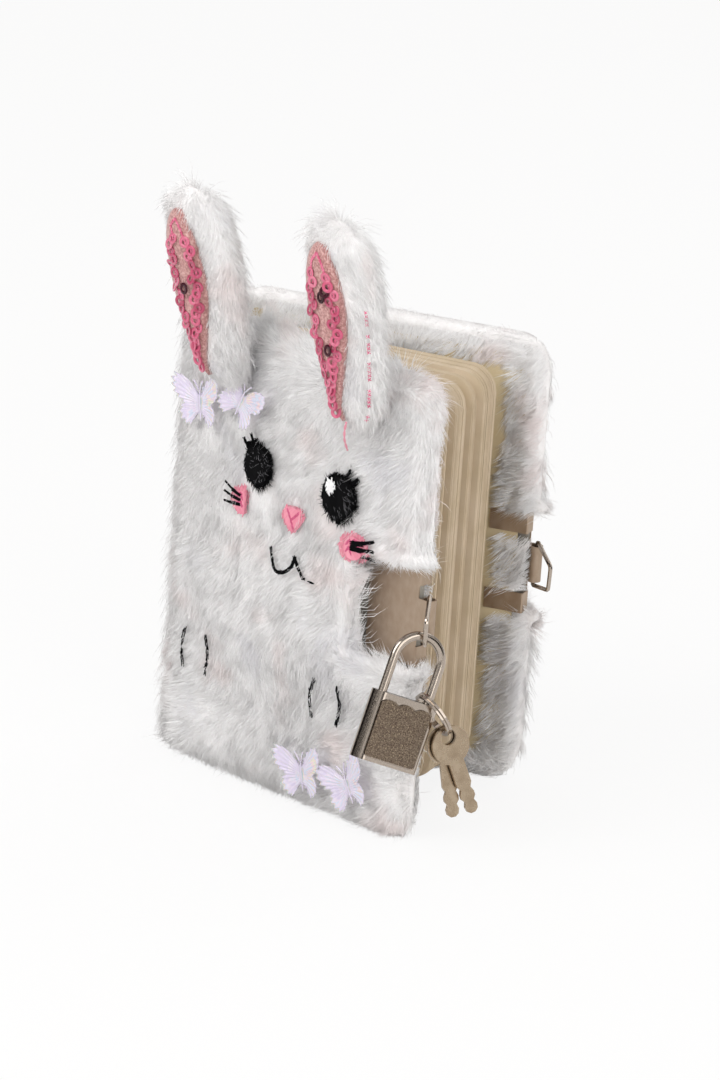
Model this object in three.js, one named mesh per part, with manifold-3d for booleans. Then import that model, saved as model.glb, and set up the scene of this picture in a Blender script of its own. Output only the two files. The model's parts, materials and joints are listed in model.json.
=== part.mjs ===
// Plush rabbit journal: a furry hardcover book with a rabbit face and ears, a clasp, a padlock and two keys.
// It stands upright on its foot with the front cover part open and the pages fanned.
// Millimetres, +Z up. The origin is on the table, under the middle of the spine board.
// The back cover lies along +X, the front cover turns towards -Y, and the clasp is at the fore-edge.
import * as THREE from 'three';
import { mergeVertices } from 'three/addons/utils/BufferGeometryUtils.js';
import Module from 'manifold-3d';

const wasm = await Module();
wasm.setup();

// Clearance between pieces that touch on the real object
const seat = 0.3;

// Faces narrower than this are merged away after a cut or a join
const sliver = 0.003;

// Case: two boards and a spine board, all under plush
const hingeSpan = 26;
const hingeX = 2.2;
const frontOpening = 22;
const boardReach = 108;
const boardStart = 5;
const boardHeight = 150;
const boardThickness = 2;
const boardCorner = 3;
const footHeight = 3;
const spineBoardInset = 4;
const endpaperThickness = 0.4;
const endpaperMargin = 3;
const turnInThickness = 0.8;
const turnInWidth = 12;
const padThickness = 3;
const padCrown = 2.4;
const padInset = 1.5;
const hingeGap = 0.4;
const hingeRoll = 1.9;

// Plush: how far the pile stands past the boards, and how the cover swells
const edgePile = 6;
const topPile = 7;
const sittingPile = 0.5;
const plushCorner = 14;
const plushWaist = 4.2;
const plushShoulder = 11.5;
const plushCrown = 3;
const plushRoll = 11;
const spinePile = 8;
const spineRound = 5;

// Pages: folded gatherings that fan out between the covers
const gatherings = 8;
const gatheringPitch = 3;
const gatheringGap = 0.35;
const pageWidth = 97;
const pageHeight = 138;
const pageCorner = 9;
const pageLift = 6;
const foldHalf = 0.33;
const foldTaper = 16;
const fanAngles = [4, 4.7, 5.4, 8.4, 11.2, 11.9, 14.8, 17.2];
const spineStripThickness = 0.6;

// Clasp plates, their rolled knuckles and the wire rings in them
const plateHeight = 35;
const plateWidth = 22;
const plateThickness = 0.5;
const plateCorner = 2;
const tabHeight = 7;
const tabReach = 13;
const knuckleHeight = 12.5;
const knuckleRadius = 2.3;
const knuckleGap = 0.6;
const ringWire = 0.75;
const ringBase = 16;
const ringFarBar = 8.6;
const ringDepth = 13;
const ringBend = 1.4;
const ringDroop = 5.5;
const frontRingTurn = -50;
const backRingTurn = -47;

// Padlock that hangs on the front ring
const lockWidth = 24;
const lockHeight = 23;
const lockDepth = 8;
const lockWall = 0.8;
const lockTurn = 44;
const lockLean = 22;
const hangFromKnuckle = 10;
const shackleWire = 1.5;
const shackleSpan = 17;
const shackleRise = 21;
const toeDepth = 6;
const heelDepth = 14;
const heelHead = 1.95;
const releaseTravel = 6;
const boreClearance = 0.3;
const panelWidth = 18.6;
const panelThickness = 0.4;
const panelRecess = 0.5;
const panelMargin = 1.5;
const panelLobes = 3;
const latchThickness = 1.1;
const latchLength = 7.7;
const notchDepth = 1.1;
const keywayWidth = 6.2;
const keywayThickness = 1.7;

// Split ring and keys
const keyRingInner = 7.2;
const keyRingBand = 1.1;
const keyRingThickness = 1.9;
const keyRingGroove = 0.25;
const keyRingSlope = 37;
const keyRingDrop = 2.3;
const keyBow = 6.6;
const keyHole = 2.75;
const keyHoleToBow = 3;
const keyLength = 27.4;
const keyBlade = 5.4;
const keyThickness = 1.2;
const keySpacing = 1.9;
const keySwings = [40, 27];

// Ears, sewn to the front cover at their foot
const earLengths = { left: 71, right: 76 };
const earFoot = 139;
const earMiddle = 57;
const earSpacing = 62;
const earStandOff = 18;
const earForward = 12;
const earSplay = 1.8;
const earTilt = -2.8;
const earHalfWidth = 14.5;
const earFootHalfWidth = 8;
const earHalfDepth = 8.5;
const earFootHalfDepth = 6;
const liningThickness = 0.6;
const liningHalfWidth = 9.5;
const liningAside = 0.2;
const sequinRadius = 2;
const sequinBore = 0.9;
const sequinThickness = 0.3;

// Stitched face and trims on the front cover
const faceMiddle = 58;
const stitchThickness = 0.8;
const eyeMiddle = 59;
const eyeSpacing = 37.5;
const eyeLevel = 112;
const eyeWidth = 14.5;
const eyeHeight = 16;
const cheeks = { left: { x: 33.6, z: 98.6 }, right: { x: 86, z: 97 } };
const cheekRadius = 4.6;
const noseLevel = 99.5;
const noseWidth = 8.4;
const mouthLevel = 86.5;
const threadWidth = 1.3;
const pawLevel = 41;
const pawLength = 12.5;
const leftPawOffset = 43;
const rightPawOffset = 19.5;
const toeSpacing = 12.4;
const butterflySpan = 20;
const butterflyThickness = 0.4;
const butterflies = {
  ear_butterfly_left: { x: 12, z: 128, turn: 8 },
  ear_butterfly_right: { x: 31.5, z: 133.5, turn: -24 },
  foot_butterfly_left: { x: 70, z: 14, turn: 12 },
  foot_butterfly_right: { x: 91, z: 16, turn: 30 },
};

const rad = THREE.MathUtils.degToRad;

// Levels through a cover, measured outward from the face that the pages rest on
const endpaperFrom = plateThickness + seat;
const turnInFrom = endpaperFrom + endpaperThickness + seat;
const boardFrom = turnInFrom + turnInThickness + seat;
const boardTo = boardFrom + boardThickness;
const padFrom = boardTo + seat;
const boardBottom = footHeight;
const boardTop = footHeight + boardHeight;
const claspLevel = footHeight + boardHeight / 2;

// Materials
const materials = {
  plush: new THREE.MeshStandardMaterial({ color: '#e9e7e8', roughness: 0.95 }),
  velvet: new THREE.MeshStandardMaterial({ color: '#d9a3a4', roughness: 0.9 }),
  sequin: new THREE.MeshStandardMaterial({ color: '#c9567a', roughness: 0.35 }),
  blackThread: new THREE.MeshStandardMaterial({ color: '#15151a', roughness: 0.7 }),
  pinkThread: new THREE.MeshStandardMaterial({ color: '#ee8fae', roughness: 0.7 }),
  whiteThread: new THREE.MeshStandardMaterial({ color: '#fbfbfb', roughness: 0.7 }),
  film: new THREE.MeshStandardMaterial({ color: '#e6dff2', roughness: 0.25 }),
  greyboard: new THREE.MeshStandardMaterial({ color: '#9a958c', roughness: 0.9 }),
  wadding: new THREE.MeshStandardMaterial({ color: '#f4f3ee', roughness: 1 }),
  paper: new THREE.MeshStandardMaterial({ color: '#e8dab4', roughness: 0.85 }),
  mull: new THREE.MeshStandardMaterial({ color: '#e4ddc8', roughness: 0.95 }),
  nickel: new THREE.MeshStandardMaterial({ color: '#b9ada0', roughness: 0.3, metalness: 1 }),
  platedSteel: new THREE.MeshStandardMaterial({ color: '#c6b8a6', roughness: 0.45, metalness: 1 }),
  castPanel: new THREE.MeshStandardMaterial({ color: '#7d6e62', roughness: 0.6, metalness: 0.8 }),
  zinc: new THREE.MeshStandardMaterial({ color: '#8f8c88', roughness: 0.5, metalness: 0.9 }),
  keyMetal: new THREE.MeshStandardMaterial({ color: '#cdbfa8', roughness: 0.35, metalness: 1 }),
};

// Solids: manifold-3d only joins and cuts what three.js shapes
function solid(geometry) {
  const bare = geometry.clone();
  bare.deleteAttribute('normal');
  bare.deleteAttribute('uv');
  const merged = mergeVertices(bare, 1e-4);
  return new wasm.Manifold(new wasm.Mesh({
    numProp: 3,
    vertProperties: new Float32Array(merged.attributes.position.array),
    triVerts: new Uint32Array(merged.index.array),
  }));
}

function geometryOf(manifold) {
  const mesh = manifold.simplify(sliver).getMesh();
  const geometry = new THREE.BufferGeometry();
  geometry.setAttribute('position', new THREE.BufferAttribute(mesh.vertProperties, 3));
  geometry.setIndex(new THREE.BufferAttribute(mesh.triVerts, 1));
  return geometry;
}

function cut(geometry, ...tools) {
  return geometryOf(tools.reduce((body, tool) => body.subtract(solid(tool)), solid(geometry)));
}

function join(...pieces) {
  return geometryOf(pieces.slice(1).reduce((body, piece) => body.add(solid(piece)), solid(pieces[0])));
}

function common(a, b) {
  return geometryOf(solid(a).intersect(solid(b)));
}

function flipped(geometry) {
  const index = geometry.index.array;
  for (let i = 0; i < index.length; i += 3) {
    [index[i], index[i + 1]] = [index[i + 1], index[i]];
  }
  return geometry;
}

function mirroredDepth(geometry) {
  const bare = geometry.clone();
  bare.deleteAttribute('normal');
  bare.deleteAttribute('uv');
  return flipped(mergeVertices(bare, 1e-4).scale(1, -1, 1));
}

function block(x0, x1, y0, y1, z0, z1) {
  const box = new THREE.BoxGeometry(x1 - x0, y1 - y0, z1 - z0);
  return box.translate((x0 + x1) / 2, (y0 + y1) / 2, (z0 + z1) / 2);
}

function rod(x, y, z0, z1, radius, sides = 14) {
  const geometry = new THREE.CylinderGeometry(radius, radius, z1 - z0, sides);
  return geometry.rotateX(Math.PI / 2).translate(x, y, (z0 + z1) / 2);
}

// Extrudes a shape drawn in X and Y up from one level to another
function risen(shape, z0, z1, curveSegments = 5) {
  const geometry = new THREE.ExtrudeGeometry(shape, { depth: z1 - z0, bevelEnabled: false, curveSegments });
  return geometry.translate(0, 0, z0);
}

// Extrudes a shape drawn in X and Z through a depth along Y
function driven(shape, y0, y1, curveSegments = 5) {
  const geometry = new THREE.ExtrudeGeometry(shape, { depth: y1 - y0, bevelEnabled: false, curveSegments });
  return geometry.rotateX(Math.PI / 2).translate(0, y1, 0);
}

function roundedRectangle(x0, x1, y0, y1, radius) {
  const shape = new THREE.Shape();
  shape.moveTo(x0 + radius, y0);
  shape.lineTo(x1 - radius, y0);
  shape.absarc(x1 - radius, y0 + radius, radius, -Math.PI / 2, 0);
  shape.lineTo(x1, y1 - radius);
  shape.absarc(x1 - radius, y1 - radius, radius, 0, Math.PI / 2);
  shape.lineTo(x0 + radius, y1);
  shape.absarc(x0 + radius, y1 - radius, radius, Math.PI / 2, Math.PI);
  shape.lineTo(x0, y0 + radius);
  shape.absarc(x0 + radius, y0 + radius, radius, Math.PI, 1.5 * Math.PI);
  return shape;
}

function ellipse(x, y, halfWidth, halfHeight) {
  const shape = new THREE.Shape();
  shape.absellipse(x, y, halfWidth, halfHeight, 0, 2 * Math.PI);
  return shape;
}

// A stitched line: a smooth stroke of one width with round ends
function stroke(points, width = threadWidth, samples = 7) {
  const curve = new THREE.SplineCurve(points.map(([x, y]) => new THREE.Vector2(x, y)));
  const left = [];
  const right = [];
  for (let i = 0; i <= samples; i += 1) {
    const at = curve.getPoint(i / samples);
    const along = curve.getTangent(i / samples);
    const side = new THREE.Vector2(-along.y, along.x).multiplyScalar(width / 2);
    left.push(at.clone().add(side));
    right.push(at.clone().sub(side));
  }
  const cap = (at, along) => at.clone().addScaledVector(along, width / 2);
  const start = cap(curve.getPoint(0), curve.getTangent(0).negate());
  const end = cap(curve.getPoint(1), curve.getTangent(1));
  return new THREE.Shape([start, ...right, end, ...left.reverse()]);
}

// Closes a stack of equal rings of points with a fan at each end
function loft(rings) {
  const count = rings[0].length;
  const middle = (ring) => ring.reduce((sum, p) => sum.add(p), new THREE.Vector3()).divideScalar(count);
  const points = [...rings.flat(), middle(rings[0]), middle(rings.at(-1))];
  const first = points.length - 2;
  const last = points.length - 1;
  const index = [];
  for (let k = 0; k < count; k += 1) {
    const next = (k + 1) % count;
    for (let r = 0; r + 1 < rings.length; r += 1) {
      const a = r * count + k;
      const b = r * count + next;
      index.push(a, b, b + count, a, b + count, a + count);
    }
    index.push(first, next, k);
    index.push(last, (rings.length - 1) * count + k, (rings.length - 1) * count + next);
  }
  return outward(points, index);
}

function outward(points, index) {
  const geometry = new THREE.BufferGeometry().setFromPoints(points);
  geometry.setIndex(index);
  let volume = 0;
  for (let i = 0; i < index.length; i += 3) {
    const [a, b, c] = [points[index[i]], points[index[i + 1]], points[index[i + 2]]];
    volume += a.dot(new THREE.Vector3().crossVectors(b, c));
  }
  return volume < 0 ? flipped(geometry) : geometry;
}

// Round wire bent in one plane, either open or joined end to end
function wire(points, planeNormal, radius, sides, closed) {
  const rings = points.map((p, i) => {
    const before = points[closed ? (i + points.length - 1) % points.length : Math.max(i - 1, 0)];
    const after = points[closed ? (i + 1) % points.length : Math.min(i + 1, points.length - 1)];
    const along = new THREE.Vector3().subVectors(after, before).normalize();
    const across = new THREE.Vector3().crossVectors(planeNormal, along);
    return Array.from({ length: sides }, (_, k) => {
      const turn = (2 * Math.PI * k) / sides;
      const out = p.clone().addScaledVector(across, radius * Math.cos(turn));
      return out.addScaledVector(planeNormal, radius * Math.sin(turn));
    });
  });
  if (!closed) {
    return loft(rings);
  }
  const index = [];
  for (let r = 0; r < rings.length; r += 1) {
    const next = (r + 1) % rings.length;
    for (let k = 0; k < sides; k += 1) {
      const other = (k + 1) % sides;
      index.push(r * sides + k, r * sides + other, next * sides + other);
      index.push(r * sides + k, next * sides + other, next * sides + k);
    }
  }
  return outward(rings.flat(), index);
}

function arcPoints(x, z, radius, from, to, steps) {
  return Array.from({ length: steps + 1 }, (_, i) => {
    const turn = rad(from + ((to - from) * i) / steps);
    return new THREE.Vector3(x + radius * Math.cos(turn), 0, z + radius * Math.sin(turn));
  });
}

// A crowned cushion with a flat underside, in cover coordinates: X from the hinge, Y outward, Z up
const cornerSteps = 4;
const sideSteps = 4;

function crowned(form, grow = 0) {
  const { xMin, xMax, zMin, zMax, corner, base, waist, shoulder, crown, roll, hingeShare } = form;
  const halfSpan = (xMax - xMin) / 2;
  const midX = (xMin + xMax) / 2;
  const midZ = (zMin + zMax) / 2;
  const ringAt = (inset, level) => {
    const x0 = xMin - grow + inset * hingeShare;
    const x1 = xMax + grow - inset;
    const z0 = zMin - grow + inset;
    const z1 = zMax + grow - inset;
    const radius = Math.max(corner + grow - inset, 2);
    const hingeRadius = Math.min(radius, 4);
    const points = [];
    const corners = [[x1, z0, -90, radius], [x1, z1, 0, radius], [x0, z1, 90, hingeRadius], [x0, z0, 180, hingeRadius]];
    corners.forEach(([x, z, from, r], side) => {
      const cx = x + (x === x1 ? -r : r);
      const cz = z + (z === z1 ? -r : r);
      for (let i = 0; i <= cornerSteps; i += 1) {
        const turn = rad(from + (90 * i) / cornerSteps);
        points.push([cx + r * Math.cos(turn), cz + r * Math.sin(turn)]);
      }
      const [nx, nz, nfrom, nr] = corners[(side + 1) % 4];
      const start = points.at(-1);
      const endX = nx + (nx === x1 ? -nr : nr) + nr * Math.cos(rad(nfrom));
      const endZ = nz + (nz === z1 ? -nr : nr) + nr * Math.sin(rad(nfrom));
      for (let i = 1; i < sideSteps; i += 1) {
        points.push([start[0] + ((endX - start[0]) * i) / sideSteps, start[1] + ((endZ - start[1]) * i) / sideSteps]);
      }
    });
    return points.map(([x, z]) => new THREE.Vector3(x, level(x, z), z));
  };
  const swell = (x, z) => {
    const across = (x - midX) / (halfSpan + grow);
    const up = (z - midZ) / ((zMax - zMin) / 2 + grow);
    return crown * Math.max(0, 1 - across * across) * Math.max(0, 1 - up * up);
  };
  const rings = [ringAt(1.2, () => base - grow)];
  for (const share of [0, 0.08, 0.25, 0.5, 1]) {
    const rise = Math.sqrt(1 - (1 - share) ** 2);
    rings.push(ringAt(share * roll, (x, z) => waist + (shoulder + grow - waist) * rise + swell(x, z) * rise));
  }
  for (const share of [0.4, 0.62, 0.84]) {
    rings.push(ringAt(share * halfSpan, (x, z) => shoulder + grow + swell(x, z)));
  }
  return loft(rings);
}

const plushForm = {
  xMin: hingeGap,
  xMax: boardReach + edgePile,
  zMin: -sittingPile,
  zMax: boardTop + topPile,
  corner: plushCorner,
  base: turnInFrom,
  waist: plushWaist,
  shoulder: plushShoulder,
  crown: plushCrown,
  roll: plushRoll,
  hingeShare: 0.3,
};

const padForm = {
  xMin: boardStart + padInset,
  xMax: boardReach - padInset,
  zMin: boardBottom + padInset,
  zMax: boardTop - padInset,
  corner: boardCorner + padInset,
  base: padFrom,
  waist: padFrom + padThickness / 3,
  shoulder: padFrom + padThickness,
  crown: padCrown,
  roll: 6,
  hingeShare: 1,
};

const far = 400;

function coverBoard(grow = 0) {
  const outline = roundedRectangle(
    boardStart - grow, boardReach + grow, boardBottom - grow, boardTop + grow, boardCorner + grow,
  );
  return driven(outline, boardFrom - grow, boardTo + grow, 3);
}

function claspWindow(margin) {
  const half = plateHeight / 2 + margin;
  return block(boardReach - plateWidth - margin, far, boardTo, far, claspLevel - half, claspLevel + half);
}

// Along the hinge the plush has a half roll round the line that the cover turns on
function coverPlush() {
  const half = plateHeight / 2 + 2 * seat;
  const rim = block(boardReach + seat, far, -far, far, claspLevel - half, claspLevel + half);
  const window = block(
    boardStart + turnInWidth, boardReach - turnInWidth, -far, boardFrom,
    boardBottom + turnInWidth, boardTop - turnInWidth,
  );
  const underTable = block(-far, far, -far, far, -far, 0);
  const rollTop = boardTop + topPile / 2;
  const hinged = join(
    crowned(plushForm),
    cut(rod(0, 0, 0, rollTop, hingeRoll, 24), block(-far, far, -far, 0, -far, far)),
    block(0, endpaperMargin - seat, endpaperFrom + endpaperThickness / 2, plushWaist, 0, rollTop),
  );
  return cut(hinged, coverBoard(seat), crowned(padForm, seat), window, claspWindow(2 * seat), rim, underTable);
}

function coverPad() {
  return cut(crowned(padForm), claspWindow(4 * seat));
}

function endpaper() {
  const outline = roundedRectangle(
    endpaperMargin, boardReach - endpaperMargin,
    boardBottom + endpaperMargin, boardTop - endpaperMargin, boardCorner,
  );
  return driven(outline, endpaperFrom, endpaperFrom + endpaperThickness, 3);
}

// The plate's outer leaf, two tabs folded round the board, and a tab rolled into a knuckle
const knuckleX = boardReach + seat + plateThickness + knuckleGap + knuckleRadius - plateThickness;
const knuckleY = padFrom + plateThickness - knuckleRadius;

function claspPlate() {
  const leafTop = padFrom + plateThickness;
  const edge = boardReach + seat;
  const leaf = driven(
    roundedRectangle(boardReach - plateWidth, edge, claspLevel - plateHeight / 2, claspLevel + plateHeight / 2, plateCorner),
    padFrom, leafTop, 3,
  );
  const hook = new THREE.Shape();
  hook.moveTo(edge - 4, leafTop);
  hook.lineTo(edge, leafTop);
  hook.absarc(edge, leafTop - plateThickness, plateThickness, Math.PI / 2, 0, true);
  hook.lineTo(edge + plateThickness, plateThickness);
  hook.absarc(edge, plateThickness, plateThickness, 0, -Math.PI / 2, true);
  hook.lineTo(boardReach - tabReach, 0);
  hook.lineTo(boardReach - tabReach, plateThickness);
  hook.lineTo(edge, plateThickness);
  hook.lineTo(edge, padFrom);
  hook.lineTo(edge - 4, padFrom);
  const tabAt = (z) => risen(hook, z, z + tabHeight, 3);
  const roll = new THREE.Shape();
  roll.moveTo(edge - 4, leafTop);
  roll.lineTo(knuckleX, leafTop);
  roll.absarc(knuckleX, knuckleY, knuckleRadius, Math.PI / 2, rad(-205), true);
  roll.absarc(knuckleX, knuckleY, knuckleRadius - plateThickness, rad(-205), Math.PI / 2, false);
  roll.lineTo(edge - 4, padFrom);
  const knuckle = risen(roll, claspLevel - knuckleHeight / 2, claspLevel + knuckleHeight / 2, 12);
  return join(leaf, tabAt(claspLevel - plateHeight / 2), tabAt(claspLevel + plateHeight / 2 - tabHeight), knuckle);
}

// Wire ring: its long bar turns in the knuckle and its short bar is far out; drawn in X and Z
function claspRing() {
  const corners = [[0, -ringBase / 2], [ringDepth, -ringFarBar / 2], [ringDepth, ringFarBar / 2], [0, ringBase / 2]];
  const points = corners.flatMap(([x, z], i) => {
    const at = new THREE.Vector2(x, z);
    const before = new THREE.Vector2(...corners[(i + 3) % 4]).sub(at).normalize();
    const after = new THREE.Vector2(...corners[(i + 1) % 4]).sub(at).normalize();
    const start = at.clone().addScaledVector(before, ringBend);
    const end = at.clone().addScaledVector(after, ringBend);
    return [0, 0.25, 0.5, 0.75, 1].map((t) => {
      const p = start.clone().multiplyScalar((1 - t) ** 2);
      p.addScaledVector(at, 2 * t * (1 - t)).addScaledVector(end, t * t);
      return new THREE.Vector3(p.x, 0, p.y);
    });
  });
  return wire(points, new THREE.Vector3(0, 1, 0), ringWire, 8, true).rotateY(rad(ringDroop));
}

// A folded gathering, pinched towards its sewn fold so that it can turn beside its neighbours
function gathering() {
  const half = (gatheringPitch - gatheringGap) / 2;
  const section = new THREE.Shape();
  section.moveTo(0, -foldHalf);
  section.lineTo(foldTaper, -half);
  section.lineTo(pageWidth, -half);
  section.lineTo(pageWidth, half);
  section.lineTo(foldTaper, half);
  section.lineTo(0, foldHalf);
  section.absarc(0, 0, foldHalf, Math.PI / 2, 1.5 * Math.PI);
  const zMin = boardBottom + pageLift;
  const body = risen(section, zMin, zMin + pageHeight, 5);
  const outline = new THREE.Shape();
  outline.moveTo(-far, zMin);
  outline.lineTo(pageWidth - pageCorner, zMin);
  outline.absarc(pageWidth - pageCorner, zMin + pageCorner, pageCorner, -Math.PI / 2, 0);
  outline.absarc(pageWidth - pageCorner, zMin + pageHeight - pageCorner, pageCorner, 0, Math.PI / 2);
  outline.lineTo(-far, zMin + pageHeight);
  return common(body, driven(outline, -2 * half, 2 * half, 5));
}

// Ear: a stuffed leaf that swells from its foot and rounds off at its tip, in cover coordinates
function earPlace(side) {
  const foot = new THREE.Vector3(earMiddle + (side * earSpacing) / 2, earStandOff, earFoot);
  const lean = rad(earForward);
  const splay = rad(earTilt + side * earSplay);
  const along = new THREE.Vector3(Math.sin(splay), Math.sin(lean), Math.cos(lean)).normalize();
  const length = side < 0 ? earLengths.left : earLengths.right;
  return { foot, along, length };
}

function earHalf(t, foot, full) {
  const swell = Math.min(1, t / 0.6);
  const width = foot + (full - foot) * (1 - (1 - swell) ** 2);
  const tip = Math.max(0, (t - 0.62) / 0.38);
  const heel = Math.max(0, (0.14 - t) / 0.14);
  return width * Math.sqrt(Math.max(0, 1 - tip ** 2.2)) * Math.sqrt(Math.max(0, 1 - heel * heel));
}

function earForm(side, grow = 0) {
  const { foot, along, length } = earPlace(side);
  const steps = 14;
  const sides = 20;
  const rings = [];
  for (let i = 0; i <= steps; i += 1) {
    const t = 0.5 - 0.5 * Math.cos((Math.PI * (i + 0.35)) / (steps + 0.7));
    const centre = foot.clone().addScaledVector(along, t * length);
    const halfWidth = earHalf(t, earFootHalfWidth, earHalfWidth) + grow;
    const halfDepth = earHalf(t, earFootHalfDepth, earHalfDepth) + grow;
    rings.push(Array.from({ length: sides }, (_, k) => {
      const turn = (2 * Math.PI * k) / sides;
      return centre.clone().add(new THREE.Vector3(halfWidth * Math.cos(turn), halfDepth * Math.sin(turn), 0));
    }));
  }
  return loft(rings);
}

function ear(side) {
  return cut(earForm(side), crowned(plushForm, seat));
}

// The velvet lining's outline, from a point at the foot to a round top
function liningHalf(t) {
  const rise = (t - 0.04) / 0.84;
  const turn = rise ** 1.45;
  return rise <= 0 || rise >= 1 ? 0 : liningHalfWidth * Math.sin(Math.PI * turn) ** (turn > 0.5 ? 0.55 : 0.75);
}

// The lining's middle lies a little towards the hinge from the ear's
function liningMiddle(t) {
  return -liningAside * earHalf(t, earFootHalfWidth, earHalfWidth);
}

// Extrudes a shape drawn in X and Z forward from the ear's own slanted middle
function forwardOfEar(side, shape) {
  const { foot, along } = earPlace(side);
  const slant = along.y / along.z;
  const shear = new THREE.Matrix4().set(
    1, 0, 0, 0,
    0, 1, slant, foot.y - foot.z * slant + 1.5,
    0, 0, 1, 0,
    0, 0, 0, 1,
  );
  return driven(shape, 0, far).applyMatrix4(shear);
}

function earLining(side) {
  const { foot, along, length } = earPlace(side);
  const right = [];
  const left = [];
  for (let i = 0; i <= 12; i += 1) {
    const t = 0.04 + (0.84 * i) / 12;
    const x = foot.x + along.x * t * length + liningMiddle(t);
    const z = foot.z + along.z * t * length;
    right.push(new THREE.Vector2(x + liningHalf(t), z));
    if (i > 0 && i < 12) {
      left.unshift(new THREE.Vector2(x - liningHalf(t), z));
    }
  }
  const front = forwardOfEar(side, new THREE.Shape([...right, ...left]));
  return cut(common(earForm(side, seat + liningThickness), front), earForm(side, seat));
}

// Where the ring sequins lie: two ragged rows that meet at the foot and near the tip
function sequinSpots(side, column) {
  const { length } = earPlace(side);
  const rows = 7;
  return Array.from({ length: rows }, (_, i) => {
    const t = 0.13 + (0.68 * i) / (rows - 1);
    const spread = Math.max(0, liningHalf(t) - sequinRadius - 0.8);
    const ends = i === 0 || i === rows - 1 || spread < 1.4 * sequinRadius;
    const wander = 0.3 * Math.sin(5.1 * i + side);
    const dx = liningMiddle(t) + (ends ? 0 : spread * (0.8 * column + wander));
    const dt = ends ? 0 : (column * 0.9 * sequinRadius * Math.cos(3.3 * i)) / length;
    return { t: t + dt, dx, shared: ends };
  });
}

// Ring sequins on the lining, all on the two rows of chain stitch that hold them
function earSequins(side) {
  const { foot, along, length } = earPlace(side);
  const radii = [[sequinBore, -1], [sequinRadius, -1], [sequinRadius, 1], [sequinBore, 1], [sequinBore, -1]];
  const profile = radii.map(([r, h]) => new THREE.Vector2(r, (h * sequinThickness) / 2));
  const onLining = 2 * seat + liningThickness;
  const rings = [];
  const threads = [];
  for (const column of [-1, 1]) {
    const spots = sequinSpots(side, column);
    threads.push(stroke(spots.map(({ t, dx }) => [
      foot.x + along.x * t * length + dx, foot.z + along.z * t * length,
    ]), sequinBore, 10));
    for (const { t, dx } of spots.filter(({ shared }) => !shared || column > 0)) {
      const halfWidth = earHalf(t, earFootHalfWidth, earHalfWidth);
      const halfDepth = earHalf(t, earFootHalfDepth, earHalfDepth);
      const bulge = Math.sqrt(1 - (dx / halfWidth) ** 2);
      const normal = new THREE.Vector3(dx / halfWidth ** 2, bulge / halfDepth, 0).normalize();
      const at = foot.clone().addScaledVector(along, t * length);
      at.add(new THREE.Vector3(dx, halfDepth * bulge, 0)).addScaledVector(normal, onLining + sequinThickness);
      const facing = new THREE.Quaternion().setFromUnitVectors(new THREE.Vector3(0, 1, 0), normal);
      rings.push(new THREE.LatheGeometry(profile, 7).applyQuaternion(facing).translate(at.x, at.y, at.z));
    }
  }
  const outer = earForm(side, onLining + sequinThickness);
  const inner = earForm(side, onLining);
  const stitches = threads.map((shape) => cut(common(forwardOfEar(side, shape), outer), inner));
  return join(...stitches, ...rings);
}

function bareCopy(geometry) {
  const bare = geometry.clone();
  bare.deleteAttribute('normal');
  bare.deleteAttribute('uv');
  return bare;
}

// A stitched or glued patch that follows the plush, from shapes drawn in X and Z
function patch(shapes, thickness = stitchThickness, lift = seat, curveSegments = 6) {
  const through = join(...shapes.map((shape) => driven(shape, boardTo, far, curveSegments)));
  return cut(common(through, crowned(plushForm, lift + thickness)), crowned(plushForm, lift));
}

function eye(side) {
  const x = eyeMiddle + (side * eyeSpacing) / 2;
  const top = eyeLevel + eyeHeight / 2;
  const lashes = [[-3, 0], [-5.5, -2]].map(([dx, dz]) => stroke([
    [x + side * -dx * 0.6, top - 3 + dz],
    [x + side * -dx, top + dz],
    [x + side * -dx * 1.3, top + 2 + dz],
  ]));
  return patch([ellipse(x, eyeLevel, eyeWidth / 2, eyeHeight / 2), ...lashes]);
}

function eyeHighlight(side) {
  const x = eyeMiddle + (side * eyeSpacing) / 2 - eyeWidth * 0.24;
  return patch([ellipse(x, eyeLevel + eyeHeight * 0.2, 2, 2.6)], 0.5, 2 * seat + stitchThickness);
}

function cheek(side) {
  const { x, z } = side < 0 ? cheeks.left : cheeks.right;
  return patch([ellipse(x, z, cheekRadius, cheekRadius)]);
}

function cheekLashes(side) {
  const { x: middle, z } = side < 0 ? cheeks.left : cheeks.right;
  const x = middle + side * (cheekRadius + seat + threadWidth);
  const lashes = [-1, 0, 1].map((row) => stroke([
    [x, z + 1.9 * row],
    [x + side * 2.6, z + 2.6 * row + 0.3],
    [x + side * 5, z + 3.6 * row + 1],
  ]));
  return patch([stroke([[x, z - 1.9], [x + side * 0.4, z], [x, z + 1.9]]), ...lashes]);
}

function nose() {
  const half = noseWidth / 2;
  const shape = new THREE.Shape();
  shape.moveTo(faceMiddle, noseLevel - half);
  shape.bezierCurveTo(
    faceMiddle + half * 0.6, noseLevel - half * 0.5, faceMiddle + half * 1.2, noseLevel + half * 0.2,
    faceMiddle + half * 0.75, noseLevel + half * 0.8,
  );
  shape.quadraticCurveTo(faceMiddle, noseLevel + half * 0.9, faceMiddle - half * 0.75, noseLevel + half * 0.8);
  shape.bezierCurveTo(
    faceMiddle - half * 1.2, noseLevel + half * 0.2, faceMiddle - half * 0.6, noseLevel - half * 0.5,
    faceMiddle, noseLevel - half,
  );
  return patch([shape]);
}

function mouth() {
  const x = faceMiddle + 2.3;
  const lips = [
    [[0, 0], [-1.5, -3.6], [-5.6, -6.5], [-9.2, -6.1], [-11.4, 0]],
    [[0, 0], [2.6, -3.5], [4.1, -5.4], [9.2, -6.1]],
  ];
  return patch(lips.map((lip) => stroke(lip.map(([dx, dz]) => [x + dx, mouthLevel + dz]), threadWidth, 10)));
}

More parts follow.
